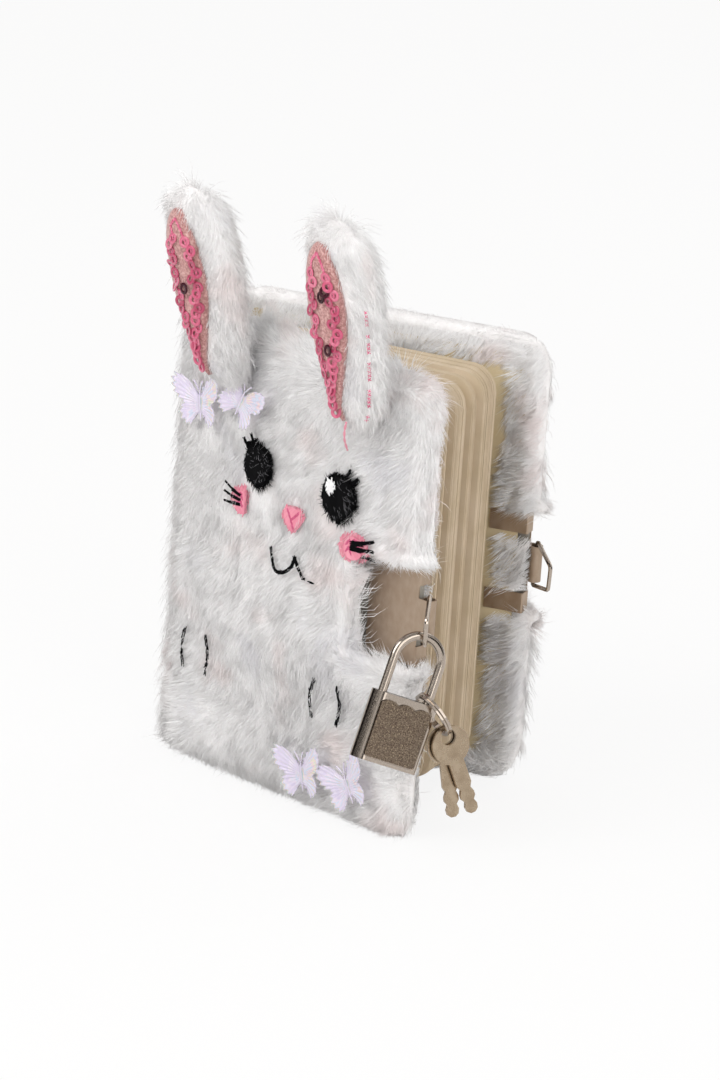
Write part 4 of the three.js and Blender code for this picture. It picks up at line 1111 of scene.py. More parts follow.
    def drawn_in(self, body, u, n, z):
        """How far the skin is drawn in: more at the free edges, and not on the inner rim or at the window."""
        side, head = EDGE_DRAW[body]
        edges = side * ease(u, BOARD_REACH, BOARD_REACH + 3) + head * ease(z, BOARD_TOP + 1, BOARD_TOP + 4)
        level = 1 - ease(abs(z - CLASP_LEVEL), PLATE_HALF + 2, PLATE_HALF + 6)
        window = ease(u, PLATE_FROM - 8, PLATE_FROM - 3) * level
        return (ease(n, 1.5, 4.5) + edges * ease(n, -1.0, 1.0)) * (1 - window)

    def turn_in(self, body, origin, across, outward):
        """The pile of the cloth that is turned in along a cover's edges, over the border of its endpaper."""
        # Side, head and foot: the reach of each across and up the cover, and the way that its hairs lean
        bands = (
            (BOARD_REACH - 9, BOARD_REACH + 2.5, 5.0, BOARD_TOP, (-1.0, -0.7)),
            (8.0, BOARD_REACH, BOARD_TOP - 6, BOARD_TOP + 1, (-0.3, -1.0)),
            (8.0, BOARD_REACH, 2.5, 8.0, (-0.2, 0.6)),
        )
        places, ways = [], []
        for u0, u1, z0, z1, way in bands:
            count = int((u1 - u0) * (z1 - z0) * self.per_mm)
            places.append(np.stack([
                self.random.uniform(u0, u1, count), self.random.uniform(z0, z1, count),
            ], 1))
            ways.append(np.tile(way, (count, 1)))
        place, way = np.concatenate(places), np.concatenate(ways)
        height = abs(place[:, 1] - CLASP_LEVEL)
        on_tab = (height < PLATE_HALF + 1) & (height > PLATE_HALF - TAB_HEIGHT - 1)
        gap = height < PLATE_HALF - TAB_HEIGHT
        place, way, gap = place[~on_tab], way[~on_tab], gap[~on_tab]
        roots = (origin + place[:, :1] * across + place[:, 1:] * UP) * MM + outward * 0.4 * MM
        turn = 0.7 * drift(roots, 61, 0.02)
        way = np.stack([
            way[:, 0] * np.cos(turn) - way[:, 1] * np.sin(turn),
            way[:, 0] * np.sin(turn) + way[:, 1] * np.cos(turn),
        ], 1)
        lay = way[:, :1] * across + way[:, 1:] * UP
        facing = np.tile(-outward, (len(roots), 1))
        on_rim, in_window = TURNED_IN_PILE
        self.pile(
            f"{body}_cover_turned_in_pile", roots, facing, lay, np.where(gap, in_window, on_rim),
            np.where(gap, 0.5, 0.22), f"{body}_cover",
        )


def over_trims(roots, random):
    """Which points of the pile lie at a stitched or glued trim. A few are let off, as wisps over it."""
    covered = np.zeros(len(roots), bool)
    chance = random.random(len(roots))
    for name, node in frame["nodes"].items():
        share = next((share for word, share in WISPS.items() if word in name), None)
        if share is None or len(node.data.polygons) == 0:
            continue
        corners = np.array([v.co for v in node.data.vertices])
        low, high = corners.min(0) - 4 * MM, corners.max(0) + 4 * MM
        near = ((roots > low) & (roots < high)).all(1) & (chance > share)
        if name == "left_cheek":
            # The pile lies over the right half of this cheek
            near &= front_local(roots)[0] < CHEEKS[-1][0] + CHEEK_SEEN[-1]
        close = np.flatnonzero(near)
        polygons = [tuple(p.vertices) for p in node.data.polygons]
        tree = BVHTree.FromPolygons([v.co.copy() for v in node.data.vertices], polygons)
        for i in close:
            start = Vector(roots[i]) + Vector(OUT) * 0.02
            covered[i] |= tree.ray_cast(start, Vector(-OUT), 0.03)[0] is not None
    return covered


class JournalBuildEars(bpy.types.Operator):
    """Both ears: the stuffed plush, the velvet lining, its seam and the ring sequins."""

    bl_idname = "journal.ears"
    bl_label = "Ears"

    def execute(self, context):
        values = context.scene.journal_plush
        dyes = context.scene.journal_trims
        white = fur_material("ear_pile", values)
        knit = backing_material()
        velvet = velvet_material(values)
        sequin = sequin_material("dyed_sequin", (dyes.sequin_shade, dyes.sequin, dyes.sequin_light))
        pink = thread_material("pink_floss", "#d0577c", "#e98aa6")
        self.dark = sequin_material("maroon_sequin", ("#2a0a14", "#3a101d", "#4a1626"), 0.12)
        random = np.random.default_rng(29)
        for name, side in (("left", -1), ("right", 1)):
            body = f"{name}_ear"
            skin = soft_copy(
                body, f"{name}_ear_skin", *EAR_SKIN, knit, body, "plush", (body,),
                lambda points: np.ones(len(points)),
            )
            self.lining(name, side, velvet)
            self.trims(name, side, sequin, pink)
            roots, facing = scatter(skin, values.pile_density * 1.2, random)
            u, n, z = front_local(roots)
            length = EAR_LENGTHS[side]
            share = (z - EAR_FOOT) / (length * math.cos(EAR_FORWARD))
            leaning = math.sin(EAR_TILT + side * EAR_SPLAY) * share * length
            middle = EAR_MIDDLE + side * EAR_SPACING / 2 + leaning
            beside = u - middle
            behind = EAR_STAND_OFF + math.tan(EAR_FORWARD) * (z - EAR_FOOT)
            halves = np.array([lining_half(t) for t in share])
            centres = np.array([lining_middle(t) for t in share])
            keep = (n < behind + 1.0) | (abs(beside - centres) > halves - 0.2)
            past_side = np.maximum(abs(beside - centres) - halves, 0.0)
            past_top = np.maximum(share - 0.88, 0.0) * length
            gap = np.where(n < behind, 9.0, np.hypot(past_side, past_top))
            lengths = values.ear_length / MM * (0.4 + 0.6 * ease(gap, 0.0, 6.0))
            roots, facing, beside, share, lengths = (v[keep] for v in (roots, facing, beside, share, lengths))
            turn = 0.5 * drift(roots, 31 + side, 0.03)
            aside = np.sin(turn) + 0.6 * beside / EAR_HALF["width"][1]
            crown = ease(facing[:, 2], 0.4, 0.85)
            lay = aside[:, None] * ALONG - np.cos(turn)[:, None] * UP + 0.8 * crown[:, None] * OUT
            rise = 0.33 + 0.12 * ease(share, 0.75, 1.0) + 0.15 * crown
            grow(
                f"{name}_ear_pile", roots, facing, lay, lengths, rise, values.hair_width / MM, white,
                body, random, values.pile_density * 0.012, math.ceil(len(roots) / PILE_PART),
            )
        self.side_seam(pink)
        self.thread_end(thread_material("pale_pink_floss", "#e0839b", "#eea5b5"))
        return {"FINISHED"}

    def side_seam(self, pink):
        """Small crosses of the right ear's seam that show through its pile."""
        stitches = []
        for i in range(SEAM_CROSSES):
            if i % 7 in (3, 4) or i % 11 == 0:
                continue
            t = SEAM_FROM + SEAM_OVER * i / (SEAM_CROSSES - 1)
            dx = SEAM_ACROSS * ear_half(t, "width")
            place, normal = ear_point(1, t, dx, 0.9)
            ahead = unit(ear_point(1, t + 0.01, dx, 0.9)[0] - place)
            across = np.cross(normal, ahead)
            for lean in (-1, 1):
                way = unit(ahead + lean * across)
                stitches.append(bead(place, way, normal, 1.7 * MM, 0.45 * MM, 0.4 * MM))
        points, faces = gather(stitches)
        new_piece("right_ear_side_seam", points, faces, pink, "right_ear", "pink_thread")

    def thread_end(self, pink):
        """A loose end of the pink thread at the foot of the right lining, twisted from two strands."""
        top = ear_point(1, 0.05, 1.0, 1.2)[0]
        foot = on_front(EAR_MIDDLE + EAR_SPACING / 2 - 6.5, 129.5, 2.5)[0]
        parts = []
        for strand in (0, math.pi):
            path = []
            for k in range(25):
                share = k / 24
                turn = 14 * share + strand
                middle = top + (foot - top) * share + OUT * (1.2 * math.sin(math.pi * share)) * MM
                path.append(middle + (ALONG * math.cos(turn) + OUT * math.sin(turn)) * 0.22 * MM)
            parts.append(tube(path, 0.22 * MM, 8))
        points, faces = gather(parts)
        new_piece("right_ear_thread_end", points, faces, pink, "front_cover", "pink_thread")

    def lining(self, name, side, velvet):
        """A thick velvet leaf that fills the ear's front, from the skin up to its face."""
        rows, columns = 46, 15
        near = np.empty((rows, columns, 3))
        deep = np.empty((rows, columns, 3))
        for r in range(rows):
            t = 0.045 + 0.83 * r / (rows - 1)
            half = max(0.05, lining_half(t))
            for c in range(columns):
                share = -1 + 2 * c / (columns - 1)
                edge = 0.55 * abs(share) ** 6
                dx = lining_middle(t) + half * share
                near[r, c] = ear_point(side, t, dx, LINING_FACE - edge)[0]
                deep[r, c] = ear_point(side, t, dx, -LINING_DEPTH)[0]
        points, faces = slab(deep, near)
        new_piece(
            f"{name}_ear_velvet", points, faces, velvet, f"{name}_ear", "velvet", True,
            (f"{name}_ear_lining",),
        )

    def trims(self, name, side, sequin, pink):
        """Ring sequins crowded on two wavy rows of chain stitch, which meet in a loop at the tip."""
        rings, dark, stitches = [], [], []
        random = np.random.default_rng(41 + side)
        for column in (-1, 1):
            path = []
            for i in range(SPOTS):
                t = ROW_FROM + ROW_OVER * i / (SPOTS - 1)
                spread = max(0.0, lining_half(t) - ROW_INSET)
                sway = ROW_SWAY * math.sin(2.3 * i + column + side)
                path.append((t, lining_middle(t) + spread * (ROW_MIDDLE + ROW_APART * column + sway)))
            for i, (t, dx) in enumerate(path):
                rings.append(self.tilted_ring(side, t, dx, RING_LIFT + 0.3 * (i % 2), random))
            path += [(t, lining_middle(t) + aside * column) for t, aside in ROW_TIP]
            stitches += self.chain(side, path)
        for t, dx in DARK_SPOTS[side]:
            dark.append(self.tilted_ring(side, t, lining_middle(t) + dx, DARK_LIFT, random))
        for label, made, material in (("ring", rings, sequin), ("dark_ring", dark, self.dark)):
            points, faces = gather(made)
            replaced = (f"{name}_ear_sequins",) if label == "ring" else ()
            new_piece(
                f"{name}_ear_{label}_sequins", points, faces, material, f"{name}_ear", "sequin", True,
                replaced,
            )
        points, faces = gather(stitches)
        new_piece(f"{name}_ear_stitching", points, faces, pink, f"{name}_ear", "pink_thread")

    def chain(self, side, path):
        """Chain stitch: pairs of short fat loops along a path on the lining."""
        stitches = []
        wide, long = CHAIN_WIDTH * MM, CHAIN_LENGTH * MM
        for (t0, x0), (t1, x1) in zip(path, path[1:]):
            span = math.hypot((t1 - t0) * EAR_LENGTHS[side], x1 - x0)
            count = max(1, round(span / CHAIN_PITCH))
            ends = [
                ear_point(side, t0 + (t1 - t0) * k / count, x0 + (x1 - x0) * k / count, CHAIN_LIFT)
                for k in range(count + 1)
            ]
            for (a, normal), (b, _) in zip(ends, ends[1:]):
                way = unit(b - a)
                across = np.cross(normal, way)
                for lean in (-1, 1):
                    along = unit(way + across * lean * CHAIN_LEAN)
                    middle = (a + b) / 2 + across * lean * wide * 0.25
                    stitches.append(bead(middle, along, normal, long, wide, wide * 0.8))
        return stitches

    def tilted_ring(self, side, t, dx, lift, random):
        place, normal = ear_point(side, t, dx, lift)
        tilt = unit(normal + random.normal(size=3) * 0.2)
        return self.ring(place, tilt, SEQUIN_RADIUS * MM, SEQUIN_BORE * MM)

    def ring(self, place, normal, radius, bore):
        """One flat sequin with a hole, as a closed ring with soft edges."""
        side = unit(np.cross(normal, UP + 0.01))
        other = np.cross(normal, side)
        profile = [(bore, -0.1), (radius, -0.16), (radius + 0.05 * MM, 0.0), (radius, 0.1), (bore, 0.14)]
        steps = 18
        points = []
        for k in range(steps):
            turn = 2 * math.pi * k / steps
            way = side * math.cos(turn) + other * math.sin(turn)
            points += [place + way * r + normal * h * MM for r, h in profile]
        size = len(profile)
        faces = []
        for k in range(steps):
            after = (k + 1) % steps
            for j in range(size):
                nxt = (j + 1) % size
                faces.append((k * size + j, after * size + j, after * size + nxt, k * size + nxt))
        return points, faces


class JournalBuildPages(bpy.types.Operator):
    """The fanned gatherings as stacks of leaves."""

    bl_idname = "journal.pages"
    bl_label = "Pages"

    def execute(self, context):
        values = context.scene.journal_pages
        paper = paper_material("cream_paper", values.paper_shade, values.paper)
        couplings = frame["record"]["behaviour"]["couplings"]
        for link in couplings:
            number = int(link["joint"].split("_")[1])
            pivot = np.array(joint(link["joint"])["pos_m"])
            angle = -link["ratio"] * OPENING
            self.stack(number, pivot, angle, values, paper)
        return {"FINISHED"}

    def stack(self, number, pivot, angle, values, paper):
        random = np.random.default_rng(100 + number)
        forward = np.array([math.cos(angle), math.sin(angle), 0.0])
        aside = np.array([-math.sin(angle), math.cos(angle), 0.0])
        stations = [0.0, 2, 5, 9, 13, 16.5, 24, 36, 50, 64, 76]
        distances = np.concatenate([stations, np.linspace(PAGE_WIDTH - PAGE_CORNER, PAGE_WIDTH, 10)])
        rows = 9
        leaves = []
        half = PAGE_HALF - values.leaf_thickness / MM / 2 - 0.02
        for leaf in range(values.leaves):
            place = -half + 2 * half * leaf / (values.leaves - 1)
            width = PAGE_WIDTH - random.uniform(0.0, 0.5)
            phase = random.uniform(0, 6.28, 2)
            grid = np.empty((len(distances), rows, 3))
            for i, s in enumerate(distances):
                s = min(s, width)
                taper = (FOLD_HALF + (PAGE_HALF - FOLD_HALF) * min(1.0, s / FOLD_TAPER)) / PAGE_HALF
                past = max(0.0, s - (width - PAGE_CORNER))
                trim = PAGE_CORNER - math.sqrt(max(0.0, PAGE_CORNER**2 - past**2))
                for j in range(rows):
                    z = PAGE_BOTTOM + trim + (PAGE_HEIGHT - 2 * trim) * j / (rows - 1)
                    wave = 0.04 * math.sin(s * 0.06 + phase[0] + z * 0.03) * min(1.0, s / 30)
                    grid[i, j] = pivot + (forward * s + aside * (place * taper + wave)) * MM + UP * z * MM
            thickness = aside * values.leaf_thickness / 2
            leaves.append(slab(grid - thickness, grid + thickness))
        points, faces = gather(leaves)
        new_piece(
            f"gathering_{number}_leaves", points, faces, paper, f"gathering_{number}", "paper", False,
            (f"page_gathering_{number}",),
        )


class JournalBuildFace(bpy.types.Operator):
    """Embroidered eyes, cheeks, nose, mouth and toe lines."""

    bl_idname = "journal.face"
    bl_label = "Embroidery"

    def execute(self, context):
        values = context.scene.journal_trims
        self.long, self.wide = values.stitch_length / MM, values.stitch_width / MM
        black = thread_material("black_floss", values.black_shade, values.black, 0.9, 0.0, 0.12)
        pink = thread_material("pink_floss_face", values.pink_shade, values.pink)
        rose = thread_material("rose_floss", "#b83a68", "#d4648a")
        white = thread_material("white_floss", "#f2f2f4", "#ffffff")
        grey = thread_material("grey_wisps", "#2a2a2e", "#8a8a8e", 0.8, 0.1, 0.2)
        self.random = np.random.default_rng(57)
        for name, side in (("left", -1), ("right", 1)):
            u = EYE_MIDDLE + side * EYE_SPACING / 2
            wide, high, raised = EYES[side]
            level = EYE_LEVEL + raised
            eye = self.fill(lambda a, b: (a / wide) ** 2 + (b / high) ** 2 < 1, u, level, 9, 84)
            top = level + high
            for dx, dz in ((-3, 0), (-5.5, -2)):
                eye += self.line([
                    (u + side * -dx * 0.6, top - 3 + dz), (u + side * -dx, top + dz),
                    (u + side * -dx * 1.3, top + 2 + dz),
                ], 0.9)
            self.stitch(f"{name}_eye_stitches", eye, black, "black_thread", f"{name}_eye")
            shrink = 0.1 if side > 0 else 0.2
            self.backing(f"{name}_eye", black, "black_thread", u, EYE_LEVEL + raised / shrink, shrink)
            self.fuzz(f"{name}_eye_fuzz", u, level, (wide, high), black, FUZZ_COUNT)
            inner = (wide * 0.9, high * 0.9)
            self.fuzz(f"{name}_eye_wisps", u, level, inner, grey, WISP_COUNT, 0.25, 1.2)
            u, level = CHEEKS[side]
            disc = self.fill(
                lambda a, b: (a / CHEEK_HALF[0]) ** 2 + (b / CHEEK_HALF[1]) ** 2 < 1 and a < CHEEK_SEEN[side],
                u, level, CHEEK_HALF[0], 70,
            )
            self.stitch(f"{name}_cheek_stitches", disc, pink, "pink_thread", f"{name}_cheek")
            self.backing(f"{name}_cheek", pink, "pink_thread", u, level, 0.1, CHEEK_SEEN[side])
            curls = []
            for turn in range(0, 360, 72):
                a, b = CURL_RING * math.cos(math.radians(turn)), CURL_RING * math.sin(math.radians(turn))
                if a + CURL_HALF > CHEEK_SEEN[side]:
                    continue
                curls += self.line([
                    (u + a - CURL_HALF, level + b), (u + a, level + b + CURL_HALF),
                    (u + a + CURL_HALF, level + b - 0.3),
                ], 0.5, 1.1)
            points, faces = gather(curls)
            new_piece(f"{name}_cheek_curl_stitches", points, faces, rose, "front_cover", "pink_thread")
            start, reach, bold = LASHES[side]
            root = u + start
            lashes = []
            for row in (-1, 0, 1):
                lashes += self.line([
                    (root, level + 1.7 * row), (root + side * reach / 2, level + 2.4 * row + 0.3),
                    (root + side * reach, level + 3.2 * row + 1),
                ], 0.53 * bold, 1.2)
                lashes += self.line([
                    (root, level + 1.7 * row), (root + side * reach * 0.45, level + 2.2 * row + 0.2),
                ], bold, 1.3)
            self.stitch(f"{name}_cheek_lash_stitches", lashes, black, "black_thread", f"{name}_cheek_lashes")
        wide, high, _ = EYES[1]
        u = EYE_MIDDLE + EYE_SPACING / 2 - wide * 0.48
        shine = self.fill(
            lambda a, b: (a / SHINE_HALF[0]) ** 2 + (b / SHINE_HALF[1]) ** 2 < 1, u, EYE_LEVEL + high * 0.4,
            3, 90, 1.1,
        )
        self.stitch("right_eye_highlight_stitches", shine, white, "white_thread", "right_eye_highlight")
        nose = self.fill(self.in_nose, FACE_MIDDLE, NOSE_LEVEL, 5, 60)
        self.stitch("nose_stitches", nose, pink, "pink_thread", "nose")
        self.backing("nose", pink, "pink_thread", FACE_MIDDLE, NOSE_LEVEL, -0.08)
        x, z = FACE_MIDDLE, NOSE_LEVEL
        chain = self.line([(x - 2.2, z + 2.6), (x - 0.4, z - 0.6), (x + 0.6, z - 2.6)], 0.9, 0.95)
        chain += self.line([(x + 0.2, z), (x + 2.6, z + 2.4)], 0.8, 0.95)
        points, faces = gather(chain)
        new_piece("nose_chain_stitches", points, faces, rose, "front_cover", "pink_thread")
        x, z = FACE_MIDDLE + 2.3, MOUTH_LEVEL
        left_lip = [(x, z), (x - 1.5, z - 3.6), (x - 5.6, z - 6.5), (x - 9.2, z - 6.1), (x - 11.4, z)]
        mouth = self.line(left_lip, 1.3, 0.7, 0.12)
        mouth += self.line([(x, z), (x + 2.2, z - 3.0), (x + 4.2, z - 5.4)], 1.5, 0.7, 0.1)
        mouth += self.line([(x + 4.2, z - 5.4), (x + 6.6, z - 5.9), (x + 9.4, z - 6.0)], 0.9, 0.6, 0.7)
        self.stitch("mouth_stitches", mouth, black, "black_thread", "mouth")
        for name, (x, side) in TOES.items():
            toe = self.line([
                (x - side * 0.9, PAW_LEVEL + PAW_HALF), (x + side * 0.5, PAW_LEVEL),
                (x - side * 0.6, PAW_LEVEL - PAW_HALF),
            ], 1.5, 0.6, 0.4)
            self.stitch(f"{name}_stitches", toe, black, "black_thread", name)
        return {"FINISHED"}

    def backing(self, node, material, slot, u, z, shrink=0.1, right=None):
        """The solid patch under the stitches, shrunk to a point, cut at its right and carried to the skin."""
        mesh = frame["nodes"][node].data.copy()
        mesh.materials.clear()
        centre = front(u, 0, z)
        for vertex in mesh.vertices:
            place = np.array(vertex.co)
            away = place - centre
            flat = away - OUT * (away @ OUT)
            place = place - flat * shrink
            if right is not None:
                place = place - ALONG * max(0.0, (place - centre) @ ALONG - right * MM)
            if np.array(vertex.normal) @ OUT < -0.1:
                place = place - OUT * FELT_DEPTH * MM
            vertex.co = place
        finish_piece(f"{node}_felt", mesh, material, "front_cover", False)

    def fuzz(self, name, u, z, half, material, count, inner=0.72, lift=0.5):
        """Broken fibres that stand out of a stitched shape into the pile, most of them to its right."""
        to_right = self.random.random(count) < 0.6
        near_right = self.random.normal(0, 0.9, count)
        turns = np.where(to_right, near_right, self.random.uniform(0, 2 * math.pi, count))
        shares = self.random.uniform(inner, 1.0, count)
        places = [on_front(u + half[0] * s * math.cos(t), z + half[1] * s * math.sin(t), lift)
                  for t, s in zip(turns, shares)]
        roots = np.array([place for place, _ in places])
        facing = np.array([normal for _, normal in places])
        lay = np.cos(turns)[:, None] * ALONG + np.sin(turns)[:, None] * UP
        lay = lay + self.random.normal(size=(count, 3)) * 0.5
        lengths = np.where(to_right, *FUZZ_LENGTHS)
        grow(
            name, roots, facing, lay, lengths, 0.3, FUZZ_WIDTH, material, "front_cover",
            self.random, FUZZ_PER_MM,
        )

    def in_nose(self, a, b):
        """A soft heart-like triangle, wide at the top."""
        a = a / NOSE_SPREAD
        taper = np.clip((b + NOSE_HALF) / (1.3 * NOSE_HALF), 0, 1) ** 0.8
        half = NOSE_HALF * (0.98 - 0.12 * (b / NOSE_HALF)) * taper
        notch = NOSE_HALF * (0.85 - 0.3 * np.exp(-((a / 1.2) ** 2)))
        return (abs(a) < half) & (b < notch)

    def fill(self, inside, u, z, reach, degrees, lift=0.6):
        """Stitches laid side by side over a shape, with a little disorder, in two layers."""
        stitches = []
        turn = math.radians(degrees)
        ahead = np.array([math.cos(turn), math.sin(turn)])
        beside = np.array([-ahead[1], ahead[0]])
        for layer in range(2):
            for row in np.arange(-reach, reach, self.wide * 0.8):
                start = self.random.uniform(0, self.long)
                for step in np.arange(-reach + start, reach, self.long * 0.85):
                    a, b = ahead * step + beside * (row + self.random.normal() * 0.08)
                    if not inside(a, b):
                        continue
                    lean = self.random.normal() * 0.25
                    stitches.append(self.one(u + a, z + b, turn + lean, lift + 0.2 * layer))
        return stitches

    def line(self, points, scale=1.0, lift=0.7, gaps=0.0):
        """Back stitch along a smooth line, three threads wide, with a share of stitches missing."""
        points = np.array(points, float)
        count = len(points)
        reach = np.linalg.norm(np.diff(points, axis=0), axis=1).sum()
        steps = max(6, int(reach / (self.long * 0.42)))
        stitches = []
        for i in range(steps + 1):
            s = i / steps * (count - 1)
            k = min(int(s), count - 2)
            f = s - k
            before = points[max(k - 1, 0)]
            after = points[min(k + 2, count - 1)]
            a, b = points[k], points[k + 1]
            place = 0.5 * (2 * a + (b - before) * f + (2 * before - 5 * a + 4 * b - after) * f * f
                           + (3 * a - before - 3 * b + after) * f**3)
            way = 0.5 * ((b - before) + 2 * (2 * before - 5 * a + 4 * b - after) * f
                         + 3 * (3 * a - before - 3 * b + after) * f * f)
            turn = math.atan2(way[1], way[0])
            for offset in (-0.3, 0.0, 0.3):
                if self.random.random() < gaps:
                    continue
                u = place[0] - math.sin(turn) * offset * scale
                z = place[1] + math.cos(turn) * offset * scale
                stitches.append(self.one(u, z, turn + self.random.normal() * 0.18, lift))
        return stitches

    def one(self, u, z, turn, lift):
        place, normal = on_front(u, z, lift)
        way = math.cos(turn) * ALONG + math.sin(turn) * UP
        way = unit(way - normal * (way @ normal))
        long = self.long * self.random.uniform(0.8, 1.2) * MM
        return bead(place, way, normal, long, self.wide * MM, self.wide * 0.8 * MM)

    def stitch(self, name, stitches, material, slot, node):
        points, faces = gather(stitches)
        new_piece(name, points, faces, material, "front_cover", slot, True, (node,))


class JournalBuildButterflies(bpy.types.Operator):
    """Four pressed butterfly sequins with ribbed wings that bend up."""

    bl_idname = "journal.butterflies"
    bl_label = "Butterflies"

    def execute(self, context):
        lift = context.scene.journal_trims.wing_lift
        film = film_material()
        for name, (u, z, degrees) in BUTTERFLIES.items():
            points, faces = self.wings(u, z, math.radians(degrees), lift)
            new_piece(name + "_film", points, faces, film, "front_cover", "film", True, (name,))
        return {"FINISHED"}

    def wings(self, u, z, turn, lift):
        """Each wing is a fan of ribs from the body out to a scalloped edge, given in shares of the span."""
        edge = [
            (0.03, 0.12), (0.1, 0.24), (0.2, 0.35), (0.32, 0.42), (0.44, 0.44), (0.5, 0.36), (0.5, 0.25),
            (0.47, 0.14), (0.41, 0.06), (0.3, -0.01), (0.36, -0.08), (0.385, -0.17), (0.35, -0.27),
            (0.28, -0.34), (0.2, -0.37), (0.14, -0.3), (0.09, -0.22), (0.03, -0.18),
        ]
        place, _ = on_front(u, z, 0.0)
        parts = []
        steps = 8
        per_rib = 4
        count = (len(edge) - 1) * per_rib + 1
        for side in (-1, 1):
            near = np.empty((count, steps, 3))
            for i in range(count):
                k = min(i // per_rib, len(edge) - 2)
                f = i / per_rib - k
                ex = edge[k][0] + (edge[k + 1][0] - edge[k][0]) * f
                ez = edge[k][1] + (edge[k + 1][1] - edge[k][1]) * f
                scallop = 1 + SCALLOP * math.cos(2 * math.pi * i / per_rib)
                root_z = 0.1 - 0.26 * i / (count - 1)
                for j in range(steps):
                    share = j / (steps - 1)
                    dx = side * (0.015 + (ex * scallop - 0.015) * share) * BUTTERFLY_SPAN
                    dz = (root_z + (ez * scallop - root_z) * share) * BUTTERFLY_SPAN
                    rib = RIB_HEIGHT * math.cos(2 * math.pi * i / per_rib) * share**0.7
                    cup = 0.5 * math.sin(math.pi * share)
                    rise = FILM_HEIGHT + abs(dx) * math.tan(lift) + rib - cup
                    a = dx * math.cos(turn) - dz * math.sin(turn)
                    b = dx * math.sin(turn) + dz * math.cos(turn)
                    near[i, j] = place + (ALONG * a + UP * b + OUT * rise) * MM
            thick = OUT * FILM_THICKNESS * MM
            parts.append(slab(near, near + thick) if side > 0 else slab(near + thick, near))
        down = math.cos(turn) * UP - math.sin(turn) * ALONG
        body = [
            place + (down * (0.2 - 0.5 * k / 8) * BUTTERFLY_SPAN + OUT * FILM_HEIGHT) * MM for k in range(9)
        ]
        radii = np.array([0.15, 0.35, 0.5, 0.45, 0.55, 0.5, 0.4, 0.3, 0.12]) * MM
        parts.append(tube(body, radii, 10))
        across = math.cos(turn) * ALONG + math.sin(turn) * UP
        for side in (-1, 1):
            feeler = []
            for k in range(6):
                share = k / 5
                feeler.append(place + (
                    down * (0.19 + 0.16 * share) * BUTTERFLY_SPAN
                    + across * side * (0.02 + 0.08 * share**1.5) * BUTTERFLY_SPAN
                    + OUT * (FILM_HEIGHT + 0.5 * share)
                ) * MM)
            parts.append(tube(feeler, 0.3 * MM, 8))
        return gather(parts)


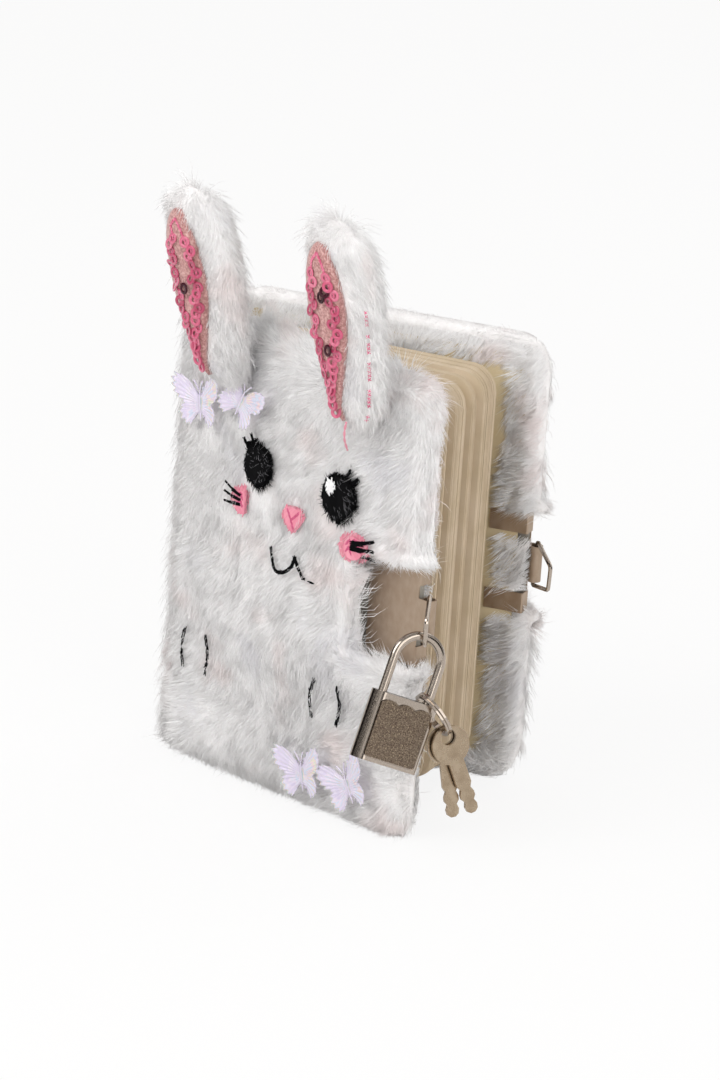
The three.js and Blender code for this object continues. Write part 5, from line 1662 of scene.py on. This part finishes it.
class JournalFinishHardware(bpy.types.Operator):
    """Materials and softened edges for the rigid solids that stay as they are."""

    bl_idname = "journal.hardware"
    bl_label = "Hardware and boards"

    def execute(self, context):
        nickel = metal_material("nickel_plate", "#a99d91", "#b9ada1", 0.13)
        satin = metal_material("satin_plate", "#ae9985", "#bba895", 0.5, (1, 1, 0.6), 500)
        cast = cast_material()
        zinc = metal_material("cast_zinc", "#7f7b76", "#98948f", 0.5, per_metre=1200, depth=0.00004)
        brass = metal_material("key_nickel", "#a4917a", "#b9a790", 0.26, per_metre=300)
        board = paper_material("greyboard", "#8f8a81", "#a39e95")
        cloth = paper_material("mull_cloth", "#d8d0ba", "#ece5d2")
        cream = paper_material("endpaper", "#d3c09a", "#dfd0ae")
        finishes = {
            "clasp_plate": (satin, 0.12), "clasp_ring": (nickel, 0.0), "lock_shell": (nickel, 0.2),
            "lock_face_panel": (cast, 0.12), "lock_core": (zinc, 0.2), "lock_latch": (zinc, 0.05),
            "lock_latch_spring": (nickel, 0.0), "lock_shackle": (nickel, 0.0), "key_ring": (nickel, 0.08),
            "key_1": (brass, 0.2), "key_2": (brass, 0.2), "_board": (board, 0.2), "spine_strip": (cloth, 0.0),
            "endpaper": (cream, 0.05),
        }
        for name, node in frame["nodes"].items():
            if node.hide_render:
                continue
            ending = max((key for key in finishes if name.endswith(key)), key=len, default=None)
            if ending is None:
                continue
            material, edge = finishes[ending]
            self.dress(node, material, edge)
        self.shackle(nickel)
        return {"FINISHED"}

    def shackle(self, material):
        """The padlock's bow as smooth round wire, with its heel's head and the latch's notch in its toe."""
        swing = -OPENING - RING_TURN
        hang = np.array([HANG_OUT * math.cos(swing), HANG_OUT * math.sin(swing), -HANG_DROP])
        crown = front(*KNUCKLE, CLASP_LEVEL) + hang * MM
        turned = Matrix.Rotation(-LOCK_LEAN, 3, Vector(ALONG)) @ Matrix.Rotation(LOCK_TURN, 3, "Z")
        right, away, up = (np.array(turned.col[k]) for k in range(3))
        heel = [(-SHACKLE_LEG, z) for z in (-SHACKLE_RISE - HEEL_DEPTH, -SHACKLE_RISE, -SHACKLE_LEG - 4)]
        bow = [
            (-SHACKLE_LEG * math.cos(a), -SHACKLE_LEG + SHACKLE_LEG * math.sin(a))
            for a in np.linspace(0, math.pi, 41)
        ]
        toe = [(SHACKLE_LEG, z) for z in (-SHACKLE_LEG - 4, -SHACKLE_RISE, -SHACKLE_RISE - TOE_DEPTH)]
        path = [crown + (right * x + up * z) * MM for x, z in heel + bow + toe]
        wire = tube(path, SHACKLE_WIRE * MM, WIRE_SIDES)
        foot = -SHACKLE_RISE - HEEL_DEPTH
        levels = (foot - HEEL_HEAD_THICKNESS, foot - 0.01)
        path = [crown + (right * -SHACKLE_LEG + up * z) * MM for z in levels]
        head = tube(path, HEEL_HEAD * MM, WIRE_SIDES)
        inner = SHACKLE_LEG - SHACKLE_WIRE
        corners = [
            crown + (right * x + away * y + up * z) * MM
            for x in (inner - 1, inner + NOTCH_DEPTH) for y in (-3, 3)
            for z in (NOTCH_LEVEL - NOTCH_HALF, NOTCH_LEVEL + NOTCH_HALF)
        ]
        sides = [(0, 1, 3, 2), (4, 6, 7, 5), (0, 4, 5, 1), (2, 3, 7, 6), (0, 2, 6, 4), (1, 5, 7, 3)]
        cutter = new_piece("notch_cutter", corners, sides, None, smooth=False)
        work = new_piece("shackle_work", *gather([wire, head]), None)
        notch = work.modifiers.new("Notch", "BOOLEAN")
        notch.operation = "DIFFERENCE"
        notch.object = cutter
        mesh = settled(work, "lock_shackle_wire")
        bpy.data.objects.remove(cutter)
        piece = finish_piece(
            "lock_shackle_wire", mesh, material, "shackle", True, ("lock_shackle",),
        )
        split = piece.modifiers.new("Edges", "EDGE_SPLIT")
        split.split_angle = math.radians(40)

    def dress(self, node, material, edge):
        mesh = node.data
        mesh.materials.clear()
        mesh.materials.append(material)
        if "custom_normal" in mesh.attributes:
            mesh.attributes.remove(mesh.attributes["custom_normal"])
        mesh.shade_smooth()
        if edge:
            bevel = node.modifiers.new("Bevel", "BEVEL")
            bevel.width = edge * MM
            bevel.segments = 2
            bevel.limit_method = "ANGLE"
            bevel.angle_limit = math.radians(35)
        split = node.modifiers.new("Edges", "EDGE_SPLIT")
        split.split_angle = math.radians(40)


class JournalPanel(bpy.types.Panel):
    """The journal's values and building steps in the sidebar."""

    bl_idname = "VIEW3D_PT_journal"
    bl_label = "Plush journal"
    bl_space_type = "VIEW_3D"
    bl_region_type = "UI"
    bl_category = "Journal"

    def draw(self, context):
        for name in ("journal_stage", "journal_plush", "journal_pages", "journal_trims"):
            box = self.layout.box()
            group = getattr(context.scene, name)
            for key in group.bl_rna.properties.keys():
                if key not in ("rna_type", "name"):
                    box.prop(group, key)
        for operator in OPERATORS:
            self.layout.operator(operator.bl_idname)


GROUPS = {
    "journal_stage": JournalStage,
    "journal_plush": JournalPlush,
    "journal_pages": JournalPages,
    "journal_trims": JournalTrims,
}
OPERATORS = (
    JournalBuildStage,
    JournalBuildPages,
    JournalBuildFace,
    JournalBuildButterflies,
    JournalBuildEars,
    JournalBuildCovers,
    JournalFinishHardware,
)


def register():
    for name, group in GROUPS.items():
        bpy.utils.register_class(group)
        setattr(bpy.types.Scene, name, bpy.props.PointerProperty(type=group))
    for operator in OPERATORS:
        bpy.utils.register_class(operator)
    bpy.utils.register_class(JournalPanel)


def unregister():
    bpy.utils.unregister_class(JournalPanel)
    for operator in reversed(OPERATORS):
        bpy.utils.unregister_class(operator)
    for name, group in GROUPS.items():
        delattr(bpy.types.Scene, name)
        bpy.utils.unregister_class(group)


def main():
    register()
    for operator in OPERATORS:
        group, name = operator.bl_idname.split(".")
        getattr(getattr(bpy.ops, group), name)()


if __name__ == "__main__":
    main()
